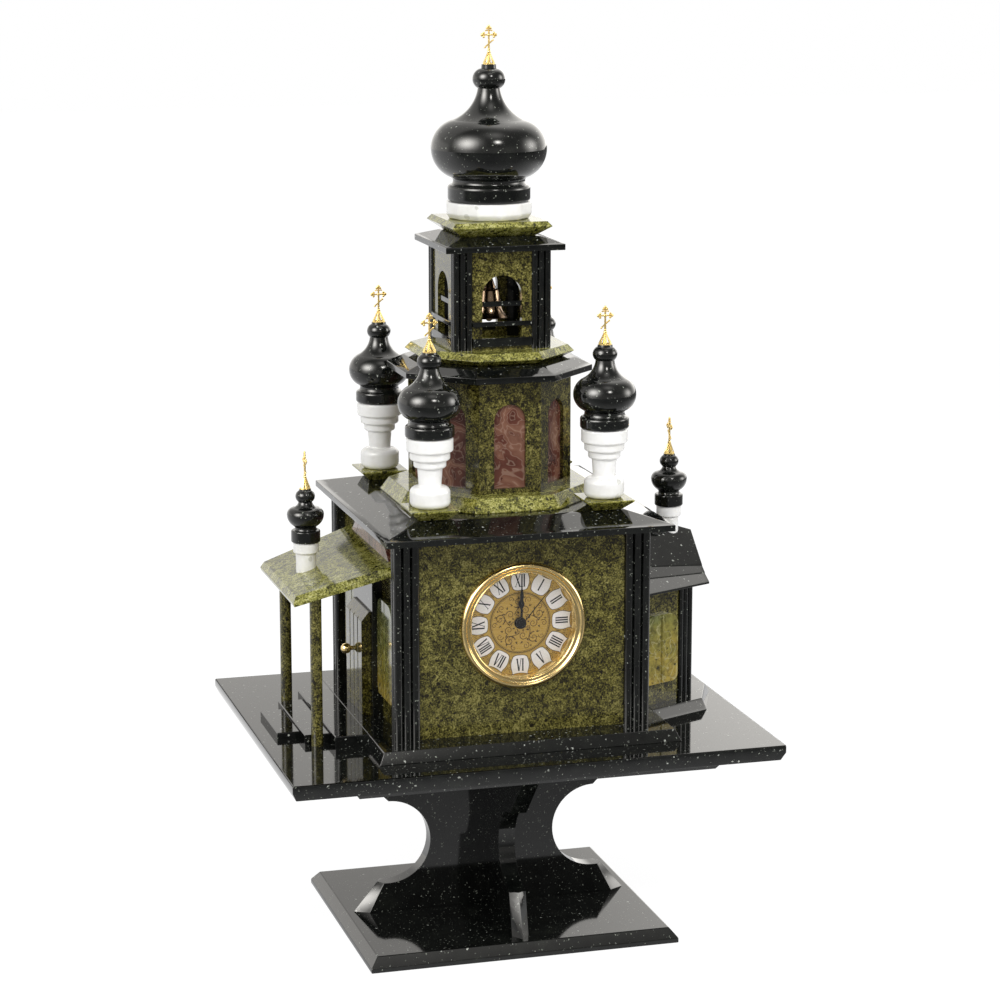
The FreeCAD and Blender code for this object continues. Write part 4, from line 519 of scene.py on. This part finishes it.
def turn_profile(shape, profile, segments):
    """Spin a closed (radius, level) profile, in mm, about the upright axis."""
    rings = []
    for radius, level in profile:
        if radius < 1e-6:
            rings.append([shape.verts.new((0, 0, level * MM))])
            continue
        rings.append([shape.verts.new((radius * math.cos(math.tau * count / segments) * MM,
                                       radius * math.sin(math.tau * count / segments) * MM,
                                       level * MM)) for count in range(segments)])
    for lower, upper in zip(rings, rings[1:] + rings[:1]):
        if len(lower) == 1 and len(upper) == 1:
            continue
        for count in range(segments):
            ahead = (count + 1) % segments
            if len(lower) == 1:
                corners = (lower[0], upper[ahead], upper[count])
            elif len(upper) == 1:
                corners = (lower[count], lower[ahead], upper[0])
            else:
                corners = (lower[count], lower[ahead], upper[ahead], upper[count])
            shape.faces.new(corners)


# Middle of the hole in the wall's face, and how far behind it the dial lies, in mm
FACE_CENTRE = Vector((0.0, -87.8, 245.7)) * MM
DIAL_DEPTH = 7.0


def face_forward(shape):
    """Turn what was made about +Z at the origin so that its axis runs out of the clock face."""
    forward = Matrix.Rotation(math.radians(90), 4, "X")
    bmesh.ops.transform(shape, verts=shape.verts, matrix=Matrix.Translation(FACE_CENTRE) @ forward)


def make_bezel():
    """Brass bezel: a rolled rim, a hollow channel and a thin bright ring round the glass."""
    profile = [(41.1, 0.0), (46.0, 0.0), (46.0, 1.7)]
    profile += arc_through((46.0, 1.7), (45.3, 3.7), (43.8, 4.6), 10)
    profile += arc_through((43.8, 4.6), (42.9, 4.5), (42.3, 3.9), 4)
    profile += arc_through((42.3, 3.9), (41.2, 3.05), (40.1, 3.15), 6)
    profile += arc_through((40.1, 3.15), (39.4, 3.8), (38.65, 3.2), 6)
    profile += [(38.3, 2.4), (38.3, 1.5), (41.1, 1.5)]
    shape = bmesh.new()
    turn_profile(shape, profile, 160)
    face_forward(shape)
    make_piece("bezel_rolled_brass", finish_mesh(shape, "bezel_rolled_brass", 40), BRASS,
               "church", ("clock_bezel",))


def make_sight_ring():
    """Thin brass reveal between the dial's edge and the glass."""
    shape = bmesh.new()
    turn_profile(shape, [(38.5, -6.98), (39.6, -6.98), (39.0, -0.05), (38.4, -0.05), (38.15, -0.5),
                         (38.3, -6.4)], 120)
    face_forward(shape)
    make_piece("sight_ring", finish_mesh(shape, "sight_ring", 40), BRASS_BRIGHT,
               "church")


# Dial artwork, drawn in mm on the dial with u to the right and v up

ENGRAVED = 0.05
FRAME_THICK, PLATE_THICK, PAINT_THICK = 0.14, 0.28, 0.06
CARTOUCHE_FOOT, CARTOUCHE_HEAD = 24.0, 37.7
NUMERAL_MIDDLE, NUMERAL_TALL, NUMERAL_WIDE = 31.0, 9.2, 8.6
HOURS = ("XII", "I", "II", "III", "IIII", "V", "VI", "VII", "VIII", "IX", "X", "XI")
LOWER_HOURS = (4, 5, 6, 7, 8)
GLYPH_WIDTHS = {"I": 1.75, "V": 4.1, "X": 4.3}
STEM, HAIR, SERIF = 1.0, 0.46, 0.34


def add_plate(shape, outline, level, thick):
    """Thin plate with the outline, standing from level to level + thick in front of the dial."""
    back = -DIAL_DEPTH + level
    rings = []
    for depth in (back, back + thick):
        rings.append([shape.verts.new((u * MM, v * MM, depth * MM)) for u, v in outline])
    shape.faces.new(rings[0][::-1])
    shape.faces.new(rings[1])
    count = len(outline)
    for index in range(count):
        ahead = (index + 1) % count
        shape.faces.new((rings[0][index], rings[0][ahead], rings[1][ahead], rings[1][index]))


def on_dial(radius, across, hour_angle, flipped=False):
    """Place on the dial of a point along and across an hour's ray."""
    outward = Vector((math.sin(hour_angle), math.cos(hour_angle)))
    sideways = Vector((math.cos(hour_angle), -math.sin(hour_angle)))
    if flipped:
        return outward * radius - sideways * across
    return outward * radius + sideways * across


def cartouche(hour_angle, grow):
    """Outline of one enamel cartouche: barrel sides, a hollow outer end and a rounded inner end."""
    inner, outer = CARTOUCHE_FOOT - grow, CARTOUCHE_HEAD + grow
    side = []
    for step in range(13):
        share = step / 12
        radius = inner + 1.1 + (outer - inner - 1.1) * share
        half = 5.0 + 1.35 * math.sin(math.pi * min(1.0, share * 1.12)) + 0.55 * share
        side.append((radius, half + grow))
    outline = [(radius, -half) for radius, half in side]
    outline += [(outer - 0.9 * (1 - (across / side[-1][1]) ** 2), across)
                for across in (side[-1][1] * (step / 5 - 1) for step in range(1, 10))]
    outline += [(radius, half) for radius, half in reversed(side)]
    outline += [(inner + 0.3, 3.6), (inner, 1.8), (inner, -1.8), (inner + 0.3, -3.6)]
    return [on_dial(radius, across, hour_angle) for radius, across in outline]


def glyph_strokes(letter, tall):
    """Strokes of one letter, each four corners (across, up), with thick and thin stems and serifs."""
    half = GLYPH_WIDTHS[letter] / 2 - 0.45

    def slanted(foot, head, thick):
        return [(foot - thick / 2, 0), (foot + thick / 2, 0),
                (head + thick / 2, tall), (head - thick / 2, tall)]

    def serif(middle, reach, level):
        return [(middle - reach, level), (middle + reach, level), (middle + reach, level + SERIF),
                (middle - reach, level + SERIF)]

    if letter == "I":
        return [slanted(0, 0, STEM), serif(0, 0.7, 0), serif(0, 0.7, tall - SERIF)]
    if letter == "V":
        return [slanted(0, -half + 0.2, STEM), slanted(0.15, half, HAIR),
                serif(-half + 0.2, 0.8, tall - SERIF), serif(half, 0.6, tall - SERIF)]
    return [slanted(half - 0.1, -half + 0.1, STEM), slanted(-half, half, HAIR),
            serif(-half + 0.1, 0.8, tall - SERIF), serif(half, 0.6, tall - SERIF), serif(-half, 0.6, 0),
            serif(half - 0.1, 0.8, 0)]


def make_numerals():
    """Painted numerals, with their feet towards the middle, or in the lower hours towards the rim."""
    shape = bmesh.new()
    tall = NUMERAL_TALL
    for hour, letters in enumerate(HOURS):
        flipped = hour in LOWER_HOURS
        angle = math.radians(30 * hour)
        total = sum(GLYPH_WIDTHS[letter] for letter in letters)
        squeeze = min(1.0, NUMERAL_WIDE / total)
        across = -total / 2
        foot = NUMERAL_MIDDLE + tall / 2 if flipped else NUMERAL_MIDDLE - tall / 2
        for letter in letters:
            middle = across + GLYPH_WIDTHS[letter] / 2
            across += GLYPH_WIDTHS[letter]
            for order, stroke in enumerate(glyph_strokes(letter, tall)):
                outline = []
                for side, up in stroke:
                    radius = foot - up if flipped else foot + up
                    outline.append(on_dial(radius, (middle + side) * squeeze, angle, flipped))
                # each stroke stands a hair above the last, so that no two faces lie in one plane
                add_plate(shape, outline, PLATE_THICK, PAINT_THICK + 0.004 * order)
    face_forward(shape)
    make_piece("dial_numerals", finish_mesh(shape, "dial_numerals"), BLACK_PAINT,
               "church")


def add_ribbon(shape, points, widths):
    """Engraved line of varying width along points, as a closed strip."""
    back, front = -DIAL_DEPTH, -DIAL_DEPTH + ENGRAVED
    rings = []
    for index, point in enumerate(points):
        before, after = points[max(index - 1, 0)], points[min(index + 1, len(points) - 1)]
        along = Vector(after) - Vector(before)
        normal = Vector((-along.y, along.x)).normalized() * (widths[index] / 2)
        left, right = Vector(point) + normal, Vector(point) - normal
        rings.append([shape.verts.new((u * MM, v * MM, depth * MM))
                      for (u, v), depth in ((left, back), (right, back), (right, front), (left, front))])
    shape.faces.new(rings[0])
    shape.faces.new(rings[-1][::-1])
    for lower, upper in zip(rings, rings[1:]):
        for corner in range(4):
            ahead = (corner + 1) % 4
            shape.faces.new((lower[corner], upper[corner], upper[ahead], lower[ahead]))


def scroll(centre, start_radius, start_angle, turns, wide, way, steps=30):
    """Volute that winds in from start_radius to its eye, tapering; way is 1 or -1, the way it turns."""
    points, widths = [], []
    for step in range(steps + 1):
        share = step / steps
        radius = start_radius * (1 - 0.86 * share ** 0.8)
        angle = start_angle + way * math.tau * turns * share
        points.append((centre[0] + radius * math.cos(angle), centre[1] + radius * math.sin(angle)))
        widths.append(wide * (1 - 0.55 * share))
    return points, widths


def add_ring(shape, inner, outer, steps=120):
    """Engraved ring round the middle of the dial."""
    rings = []
    for radius in (inner, outer):
        for depth in (-DIAL_DEPTH, -DIAL_DEPTH + ENGRAVED):
            rings.append([shape.verts.new((radius * math.cos(math.tau * count / steps) * MM,
                                           radius * math.sin(math.tau * count / steps) * MM, depth * MM))
                          for count in range(steps)])
    low_in, high_in, low_out, high_out = rings
    for lower, upper in ((low_in, high_in), (high_in, high_out), (high_out, low_out), (low_out, low_in)):
        for count in range(steps):
            ahead = (count + 1) % steps
            shape.faces.new((lower[count], lower[ahead], upper[ahead], upper[count]))


def turned_points(points, angle):
    """Points turned about the middle of the dial."""
    cosine, sine = math.cos(angle), math.sin(angle)
    return [(x * cosine - y * sine, x * sine + y * cosine) for x, y in points]


def add_leaf(shape, root, angle, long, half):
    """Engraved leaf: a pointed oval."""
    outline = []
    for share in (0.0, 0.2, 0.45, 0.7, 0.9, 1.0):
        outline.append((long * share, half * math.sin(math.pi * share ** 0.8)))
    outline += [(x, -y) for x, y in outline[-2:0:-1]]
    placed = [(root[0] + x, root[1] + y) for x, y in turned_points(outline, angle)]
    add_plate(shape, placed, 0.0, ENGRAVED)


RINGS = ((20.9, 21.15), (21.6, 22.3), (22.75, 22.95), (38.35, 38.55))
# One fifth of the foliage. A volute: its middle, radius, first angle, turns, line width and way round
VOLUTES = (
    ((15.2, 1.6), 4.4, 2.4, 1.55, 0.7, 1),
    ((9.0, -3.6), 3.3, 0.4, 1.45, 0.62, -1),
    ((16.6, -6.2), 2.7, 2.2, 1.35, 0.55, -1),
    ((17.6, 7.2), 2.2, 3.9, 1.25, 0.5, 1),
    ((6.2, 3.0), 2.0, 5.0, 1.2, 0.45, 1),
)
# A pair of leaves: their root, the angle they lean at and how long the first is
LEAVES = (
    ((7.2, 0.6), 0.9, 2.6), ((10.5, 1.9), -0.8, 2.9), ((12.8, -3.2), 0.5, 2.8),
    ((13.2, 5.6), 1.3, 2.6), ((18.3, 0.6), 0.9, 2.0), ((12.0, -6.6), -1.1, 2.4),
    ((17.9, -3.2), -0.3, 1.9), ((5.2, -1.2), -0.4, 2.0),
)


def make_scrollwork():
    """Engraved foliage: volutes round the middle of the dial and small curls between the hours."""
    shape = bmesh.new()
    for inner, outer in RINGS:
        add_ring(shape, inner, outer)
    for repeat in range(5):
        angle = math.tau * repeat / 5 + 0.3
        for centre, radius, start, turns, wide, way in VOLUTES:
            points, widths = scroll(centre, radius, start, turns, wide, way)
            add_ribbon(shape, turned_points(points, angle), widths)
        stem = [(5.0 + 1.25 * step, 2.4 * math.sin(step * 0.72)) for step in range(12)]
        add_ribbon(shape, turned_points(stem, angle + 0.16), [0.55 - 0.025 * step for step in range(12)])
        for root, lean, long in LEAVES:
            place = turned_points([root], angle)[0]
            add_leaf(shape, place, angle + lean, long, 0.42)
            add_leaf(shape, place, angle + lean + 0.7, 0.75 * long, 0.34)
    for hour in range(12):
        ray = math.radians(90 - 30 * hour - 15)
        for side in (-1, 1):
            first = math.pi * (1 - 0.25 * side)
            points, widths = scroll((34.4, 1.55 * side), 1.5, first, 1.3, 0.34, side, 20)
            add_ribbon(shape, turned_points(points, ray), widths)
            add_leaf(shape, turned_points([(36.1, 1.3 * side)], ray)[0], ray + 0.9 * side, 1.5, 0.3)
        add_leaf(shape, turned_points([(27.0, 0.0)], ray)[0], ray, 5.2, 0.42)
    face_forward(shape)
    make_piece("dial_scrollwork", finish_mesh(shape, "dial_scrollwork"), ENGRAVING,
               "church")


def make_cartouches():
    """White enamel plates of the hours, each in a dark frame."""
    frames, plates = bmesh.new(), bmesh.new()
    for hour in range(12):
        angle = math.radians(30 * hour)
        add_plate(frames, cartouche(angle, 0.45), 0.0, FRAME_THICK)
        add_plate(plates, cartouche(angle, 0.0), 0.0, PLATE_THICK)
    for shape, name, finish in ((frames, "dial_cartouche_frames", ENGRAVING),
                                (plates, "dial_cartouches", ENAMEL)):
        face_forward(shape)
        make_piece(name, finish_mesh(shape, name), finish, "church")


def make_round_nut():
    """Low round nut that holds the dial on the movement's bush."""
    shape = bmesh.new()
    turn_profile(shape, [(3.65, -DIAL_DEPTH), (4.3, -DIAL_DEPTH), (4.3, -DIAL_DEPTH + 1.3),
                         (4.0, -DIAL_DEPTH + 1.6), (3.65, -DIAL_DEPTH + 1.6)], 64)
    face_forward(shape)
    make_piece("dial_nut_round", finish_mesh(shape, "dial_nut_round", 40), DARK_BRASS,
               "church", ("dial_nut",))


# Hands, each with its pivot on the clock's axis; levels are measured outward from the wall's face

def leaf_side(long, waist, half_wide, middle, swell, reach, steps=48):
    """Right-hand side of a hand as (along, half width), which tapers but swells into a leaf."""
    side = []
    for step in range(steps + 1):
        along = long * step / steps
        half = half_wide * (1 - 0.62 * along / long)
        away = abs(along - middle) / reach
        if away < 1:
            half = max(half, waist + (swell - waist) * math.cos(away * math.pi / 2) ** 1.4)
        side.append((along, half))
    return side


def straight_side(long, near, far, steps=12):
    """Right-hand side of a needle that tapers evenly."""
    return [(long * step / steps, near + (far - near) * step / steps) for step in range(steps + 1)]


BLADE_THICK = 0.4
TUBE_END = -12.0
# Node: piece, side of its blade, radius of its hub, level of its back, radius and bore of its tube,
# and how many degrees it is turned at rest
HANDS = {
    "hour_hand": ("hour_hand_leaf", leaf_side(25.0, 0.6, 0.8, 14.6, 2.1, 4.4),
                  3.7, -3.6, 2.55, 1.95, 0.0),
    "minute_hand": ("minute_hand_leaf", leaf_side(36.8, 0.5, 0.72, 20.5, 1.35, 5.5),
                    2.9, -2.5, 1.75, 1.2, 0.0),
    "second_hand": ("second_hand_needle", straight_side(31.5, 0.34, 0.24), 1.7, -1.4, 1.1, 0.0, -40.0),
}


def make_hand(side, hub, level, tube, bore):
    """Flat hand with its hub, on the tube that carries it into the movement."""
    shape = bmesh.new()
    front = level + BLADE_THICK
    blade = [(along, half) for along, half in side if along > bore + 0.3]
    outline = [(half, along) for along, half in blade]
    outline += [(-half, along) for along, half in reversed(blade)]
    add_plate(shape, outline, level + DIAL_DEPTH, BLADE_THICK)
    turn_profile(shape, [(bore, TUBE_END), (tube, TUBE_END), (tube, level - 0.01), (hub, level - 0.01),
                         (hub, front - 0.1), (hub - 0.12, front + 0.01), (bore, front + 0.01)], 64)
    return shape


def make_hands():
    for node_name, (name, side, hub, level, tube, bore, degrees) in HANDS.items():
        shape = make_hand(side, hub, level, tube, bore)
        bmesh.ops.rotate(shape, verts=shape.verts, cent=(0, 0, 0),
                         matrix=Matrix.Rotation(math.radians(degrees), 3, "Z"))
        face_forward(shape)
        make_piece(name, finish_mesh(shape, name, 30), BLACK_PAINT,
                   node_name, (node_name,))


# Brass crosses

CROSS_TALL = 27.8
# Node: degrees its crosses are turned, radius of their feet, and where they stand
CROSSES = {
    "dome_cross": (0, 4.4, ((0.0, 0.0),)),
    "tower_crosses": (0, 4.8, ((-64.3, -74.9), (-64.3, 74.9), (64.3, -74.9), (64.3, 74.9))),
    "small_crosses": (90, 3.9, ((-138.0, 0.0), (139.5, 0.0))),
}


def add_ball(shape, place, radius, flat, segments=16):
    """Ball that is flattened along Y to the given share."""
    made = bmesh.ops.create_uvsphere(shape, u_segments=segments, v_segments=segments // 2,
                                     radius=radius * MM)
    bmesh.ops.scale(shape, verts=made["verts"], vec=(1, flat, 1))
    bmesh.ops.translate(shape, verts=made["verts"], vec=Vector(place) * MM)


# Corners of a bar's section as shares of its half width and half thickness
BAR_SECTION = ((-1, -0.45), (-0.6, -1), (0.6, -1), (1, -0.45),
               (1, 0.45), (0.6, 1), (-0.6, 1), (-1, 0.45))


def add_bar(shape, start, end, half_start, half_end, thick):
    """Bar with broken edges between two points (x, z), tapering between half widths."""
    direction = Vector((end[0] - start[0], end[1] - start[1]))
    side = Vector((-direction.y, direction.x)).normalized()
    rings = []
    for point, half in ((start, half_start), (end, half_end)):
        ring = []
        for across, deep in BAR_SECTION:
            ring.append(shape.verts.new(((point[0] + side.x * across * half) * MM, deep * thick / 2 * MM,
                                         (point[1] + side.y * across * half) * MM)))
        rings.append(ring)
    shape.faces.new(rings[0])
    shape.faces.new(rings[1][::-1])
    for index in range(8):
        ahead = (index + 1) % 8
        shape.faces.new((rings[0][index], rings[1][index], rings[1][ahead], rings[0][ahead]))


def add_trefoil(shape, tip, outward):
    """Three leaves at the end of an arm; outward is the direction (x, z) that the arm points."""
    across = (-outward[1], outward[0])
    add_ball(shape, (tip[0], 0, tip[1]), 1.2, 0.62)
    for side in (-1, 1):
        add_ball(shape, (tip[0] - outward[0] * 1.25 + across[0] * side * 1.3, 0,
                         tip[1] - outward[1] * 1.25 + across[1] * side * 1.3), 0.95, 0.62)


# Bars of a cross: from and to, half width at each end, and thickness
CROSS_BARS = (
    ((0, 7.2), (0, 25.6), 0.75, 0.55, 1.3),
    ((-5.0, 20.6), (5.0, 20.6), 0.55, 0.55, 1.2),
    ((-2.3, 23.7), (2.3, 23.7), 0.42, 0.42, 1.1),
    ((-2.9, 11.9), (2.9, 16.9), 0.5, 0.5, 1.1),
)


def make_cross(cone_radius):
    """One cross about the origin, standing on an open foot of six legs."""
    shape = bmesh.new()
    for bar in CROSS_BARS:
        add_bar(shape, *bar)
    for end, outward in (((0, 26.5), (0, 1)), ((5.0, 20.6), (1, 0)), ((-5.0, 20.6), (-1, 0))):
        add_trefoil(shape, end, outward)
    for end in ((-2.9, 11.9), (2.9, 16.9)):
        add_ball(shape, (end[0], 0, end[1]), 0.8, 0.7, 12)
    for end in ((-2.3, 23.7), (2.3, 23.7)):
        add_ball(shape, (end[0], 0, end[1]), 0.6, 0.8, 12)
    add_ball(shape, (0, 0, 20.6), 1.25, 0.75)
    add_ball(shape, (0, 0, 8.6), 1.35, 0.9)
    add_ball(shape, (0, 0, 10.4), 0.95, 0.9, 12)
    for count in range(6):
        turn = Matrix.Rotation(math.tau * count / 6 + 0.26, 4, "Z")
        rings = []
        for level, out, half, deep in (
                (0.0, cone_radius - 0.35, 1.5, 0.7), (1.6, cone_radius - 0.7, 1.3, 0.7),
                (4.2, cone_radius * 0.55, 0.9, 0.7), (8.0, 0.95, 0.55, 0.5)):
            ring = []
            for across, radial in ((-1, -1), (-0.7, 1), (0.7, 1), (1, -1)):
                point = Vector(((out + radial * deep / 2) * MM, across * half * MM, level * MM))
                ring.append(shape.verts.new(turn @ point))
            rings.append(ring)
        shape.faces.new(rings[0])
        shape.faces.new(rings[-1][::-1])
        for lower, upper in zip(rings, rings[1:]):
            for index in range(4):
                ahead = (index + 1) % 4
                shape.faces.new((lower[index], upper[index], upper[ahead], lower[ahead]))
    turn_profile(shape, [(cone_radius - 1.1, 0.0), (cone_radius, 0.0), (cone_radius, 0.5),
                         (cone_radius - 0.35, 0.8), (cone_radius - 1.1, 0.8)], 40)
    return shape


def cross_foot(node_name, x, y):
    """Where a cross stands: its node's mesh near x, y tells how high its top is."""
    top = max(corner.co.z for corner in nodes[node_name].data.vertices
              if math.hypot(corner.co.x - x * MM, corner.co.y - y * MM) < 8 * MM)
    return Vector((x * MM, y * MM, top - CROSS_TALL * MM))


def make_crosses():
    for node_name, (degrees, cone_radius, spots) in CROSSES.items():
        whole = bmesh.new()
        for x, y in spots:
            cross = make_cross(cone_radius)
            bmesh.ops.rotate(cross, verts=cross.verts, cent=(0, 0, 0),
                             matrix=Matrix.Rotation(math.radians(degrees), 3, "Z"))
            bmesh.ops.translate(cross, verts=cross.verts, vec=cross_foot(node_name, x, y))
            part = bpy.data.meshes.new("cross_part")
            cross.to_mesh(part)
            cross.free()
            whole.from_mesh(part)
            bpy.data.meshes.remove(part)
        name = node_name + "_cast"
        make_piece(name, finish_mesh(whole, name, 35), BRASS_BRIGHT,
                   "church", (node_name,))


make_bezel()
make_sight_ring()
make_round_nut()
make_hands()
make_cartouches()
make_numerals()
make_scrollwork()
make_crosses()


# Stage, light and camera

def white_ground():
    """Floor that is white to the camera, keeps a faint shadow and is mirrored white behind."""
    material, tree, surface = new_material("white_ground")
    tree.nodes.remove(surface)
    output = tree.nodes["Material Output"]
    seen, mirrored = ray_masks(tree)
    matt = tree.nodes.new("ShaderNodeBsdfDiffuse")
    looked_at = math_node(tree, "MAXIMUM", seen, mirrored)
    link(tree, mix_colour(tree, looked_at, grey(0.8), grey(0.15)), matt.inputs["Color"])
    x, y, _ = split_vector(tree, stone_place(tree))
    behind = graded(tree, y, -0.8, 0.6, 0.03, 1.0)
    not_far_right = graded(tree, x, 0.7, 1.6, 1.0, 0.1)
    in_polish = math_node(tree, "MULTIPLY", mirrored, math_node(tree, "MULTIPLY", behind, not_far_right))
    in_view = math_node(tree, "MULTIPLY", seen, 0.93)
    glow = tree.nodes.new("ShaderNodeEmission")
    set_inputs(glow, Color=(1.0, 1.0, 1.0, 1.0))
    link(tree, math_node(tree, "MAXIMUM", in_polish, in_view), glow.inputs["Strength"])
    both = tree.nodes.new("ShaderNodeAddShader")
    link(tree, matt.outputs["BSDF"], both.inputs[0])
    link(tree, glow.outputs["Emission"], both.inputs[1])
    link(tree, both.outputs["Shader"], output.inputs["Surface"])
    return material


def make_floor():
    half = 8.0
    mesh = bpy.data.meshes.new("studio_floor")
    mesh.from_pydata([(-half, -half, 0), (half, -half, 0), (half, half, 0), (-half, half, 0)], [],
                     [(0, 1, 2, 3)])
    floor = bpy.data.objects.new("studio_floor", mesh)
    bpy.context.scene.collection.objects.link(floor)
    floor.location.z = -0.2 * MM
    mesh.materials.append(white_ground())


# Direction that polished stone mirrors a light from, how narrow and how bright it is
SOFTBOXES = (
    ((0.066, -0.8, 0.6), 260.0, 26.0),
    ((-0.796, -0.388, 0.461), 20.0, 15.0),
    ((0.96, -0.18, 0.2), 34.0, 7.5),
    ((0.05, -0.42, 0.9), 40.0, 1.5),
    ((0.3, 0.32, 0.9), 20.0, 1.6),
)


def make_world():
    """White to the camera; polish mirrors it bright behind, dim in front and with soft lights."""
    world = bpy.data.worlds.new("studio")
    bpy.context.scene.world = world
    world.use_nodes = True
    tree = world.node_tree
    background = tree.nodes["Background"]
    outward = tree.nodes.new("ShaderNodeTexCoord").outputs["Generated"]
    x, y, z = split_vector(tree, outward)

    surround = math_node(tree, "MULTIPLY", graded(tree, y, 0.1, 0.36, 0.3, 1.0),
                         graded(tree, z, 0.17, 0.36, 1.42, 0.9))
    right_of_back = math_node(tree, "MULTIPLY", graded(tree, x, 0.22, 0.4, 0.0, 1.2),
                              graded(tree, y, 0.3, 0.7, 0.0, 1.0))
    surround = math_node(tree, "ADD", surround, right_of_back)
    for direction, narrow, bright in SOFTBOXES:
        facing = tree.nodes.new("ShaderNodeVectorMath")
        facing.operation = "DOT_PRODUCT"
        link(tree, outward, facing.inputs[0])
        facing.inputs[1].default_value = Vector(direction).normalized()
        clipped = math_node(tree, "MAXIMUM", facing.outputs["Value"], 0.0)
        lobe = math_node(tree, "MULTIPLY", math_node(tree, "POWER", clipped, narrow), bright)
        surround = math_node(tree, "ADD", surround, lobe)
    seen, mirrored = ray_masks(tree)
    warm = mix_colour(tree, 1.0, surround, (1.0, 0.975, 0.93), "MULTIPLY")
    around = mix_colour(tree, mirrored, grey(0.5), warm)
    link(tree, mix_colour(tree, seen, around, grey(1.0)), background.inputs["Color"])
    set_inputs(background, Strength=1.0)


# Name, place, target, width, height and power
LAMPS = (
    ("left_softbox", (-1.9, -1.6, 1.9), (0, 0, 0.4), 0.9, 0.9, 34),
    ("front_softbox", (0.3, -2.2, 2.3), (0, 0, 0.45), 0.8, 0.6, 26),
    ("right_softbox", (2.1, -1.2, 1.6), (0, 0, 0.4), 0.9, 1.1, 24),
)


def make_lamp(name, place, target, width, height, power):
    """Soft area lamp for the matt light; its mirror image in polish comes from the studio instead."""
    lamp = bpy.data.lights.new(name, "AREA")
    lamp.shape = "RECTANGLE"
    lamp.size = width
    lamp.size_y = height
    lamp.energy = power
    holder = bpy.data.objects.new(name, lamp)
    bpy.context.scene.collection.objects.link(holder)
    holder.location = place
    holder.visible_glossy = False
    towards = Vector(target) - Vector(place)
    holder.rotation_euler = towards.to_track_quat("-Z", "Y").to_euler()


CAMERA_PLACE = (-0.5723, -2.0354, 0.7644)
CAMERA_DOWN, CAMERA_RIGHT = 11.90, 15.92
CAMERA_LENS, CAMERA_SENSOR = 105.8, 36.0


def make_camera():
    """Camera at the photograph's place, looking down and to the right by the two angles."""
    camera = bpy.data.cameras.new("studio_camera")
    camera.lens = CAMERA_LENS
    camera.sensor_width = CAMERA_SENSOR
    camera.clip_end = 50.0
    holder = bpy.data.objects.new("studio_camera", camera)
    bpy.context.scene.collection.objects.link(holder)
    holder.location = CAMERA_PLACE
    holder.rotation_euler = (math.radians(90 - CAMERA_DOWN), 0.0, math.radians(-CAMERA_RIGHT))
    bpy.context.scene.camera = holder


make_camera()
make_floor()
make_world()
for lamp_settings in LAMPS:
    make_lamp(*lamp_settings)
bpy.context.scene.view_settings.view_transform = "Standard"
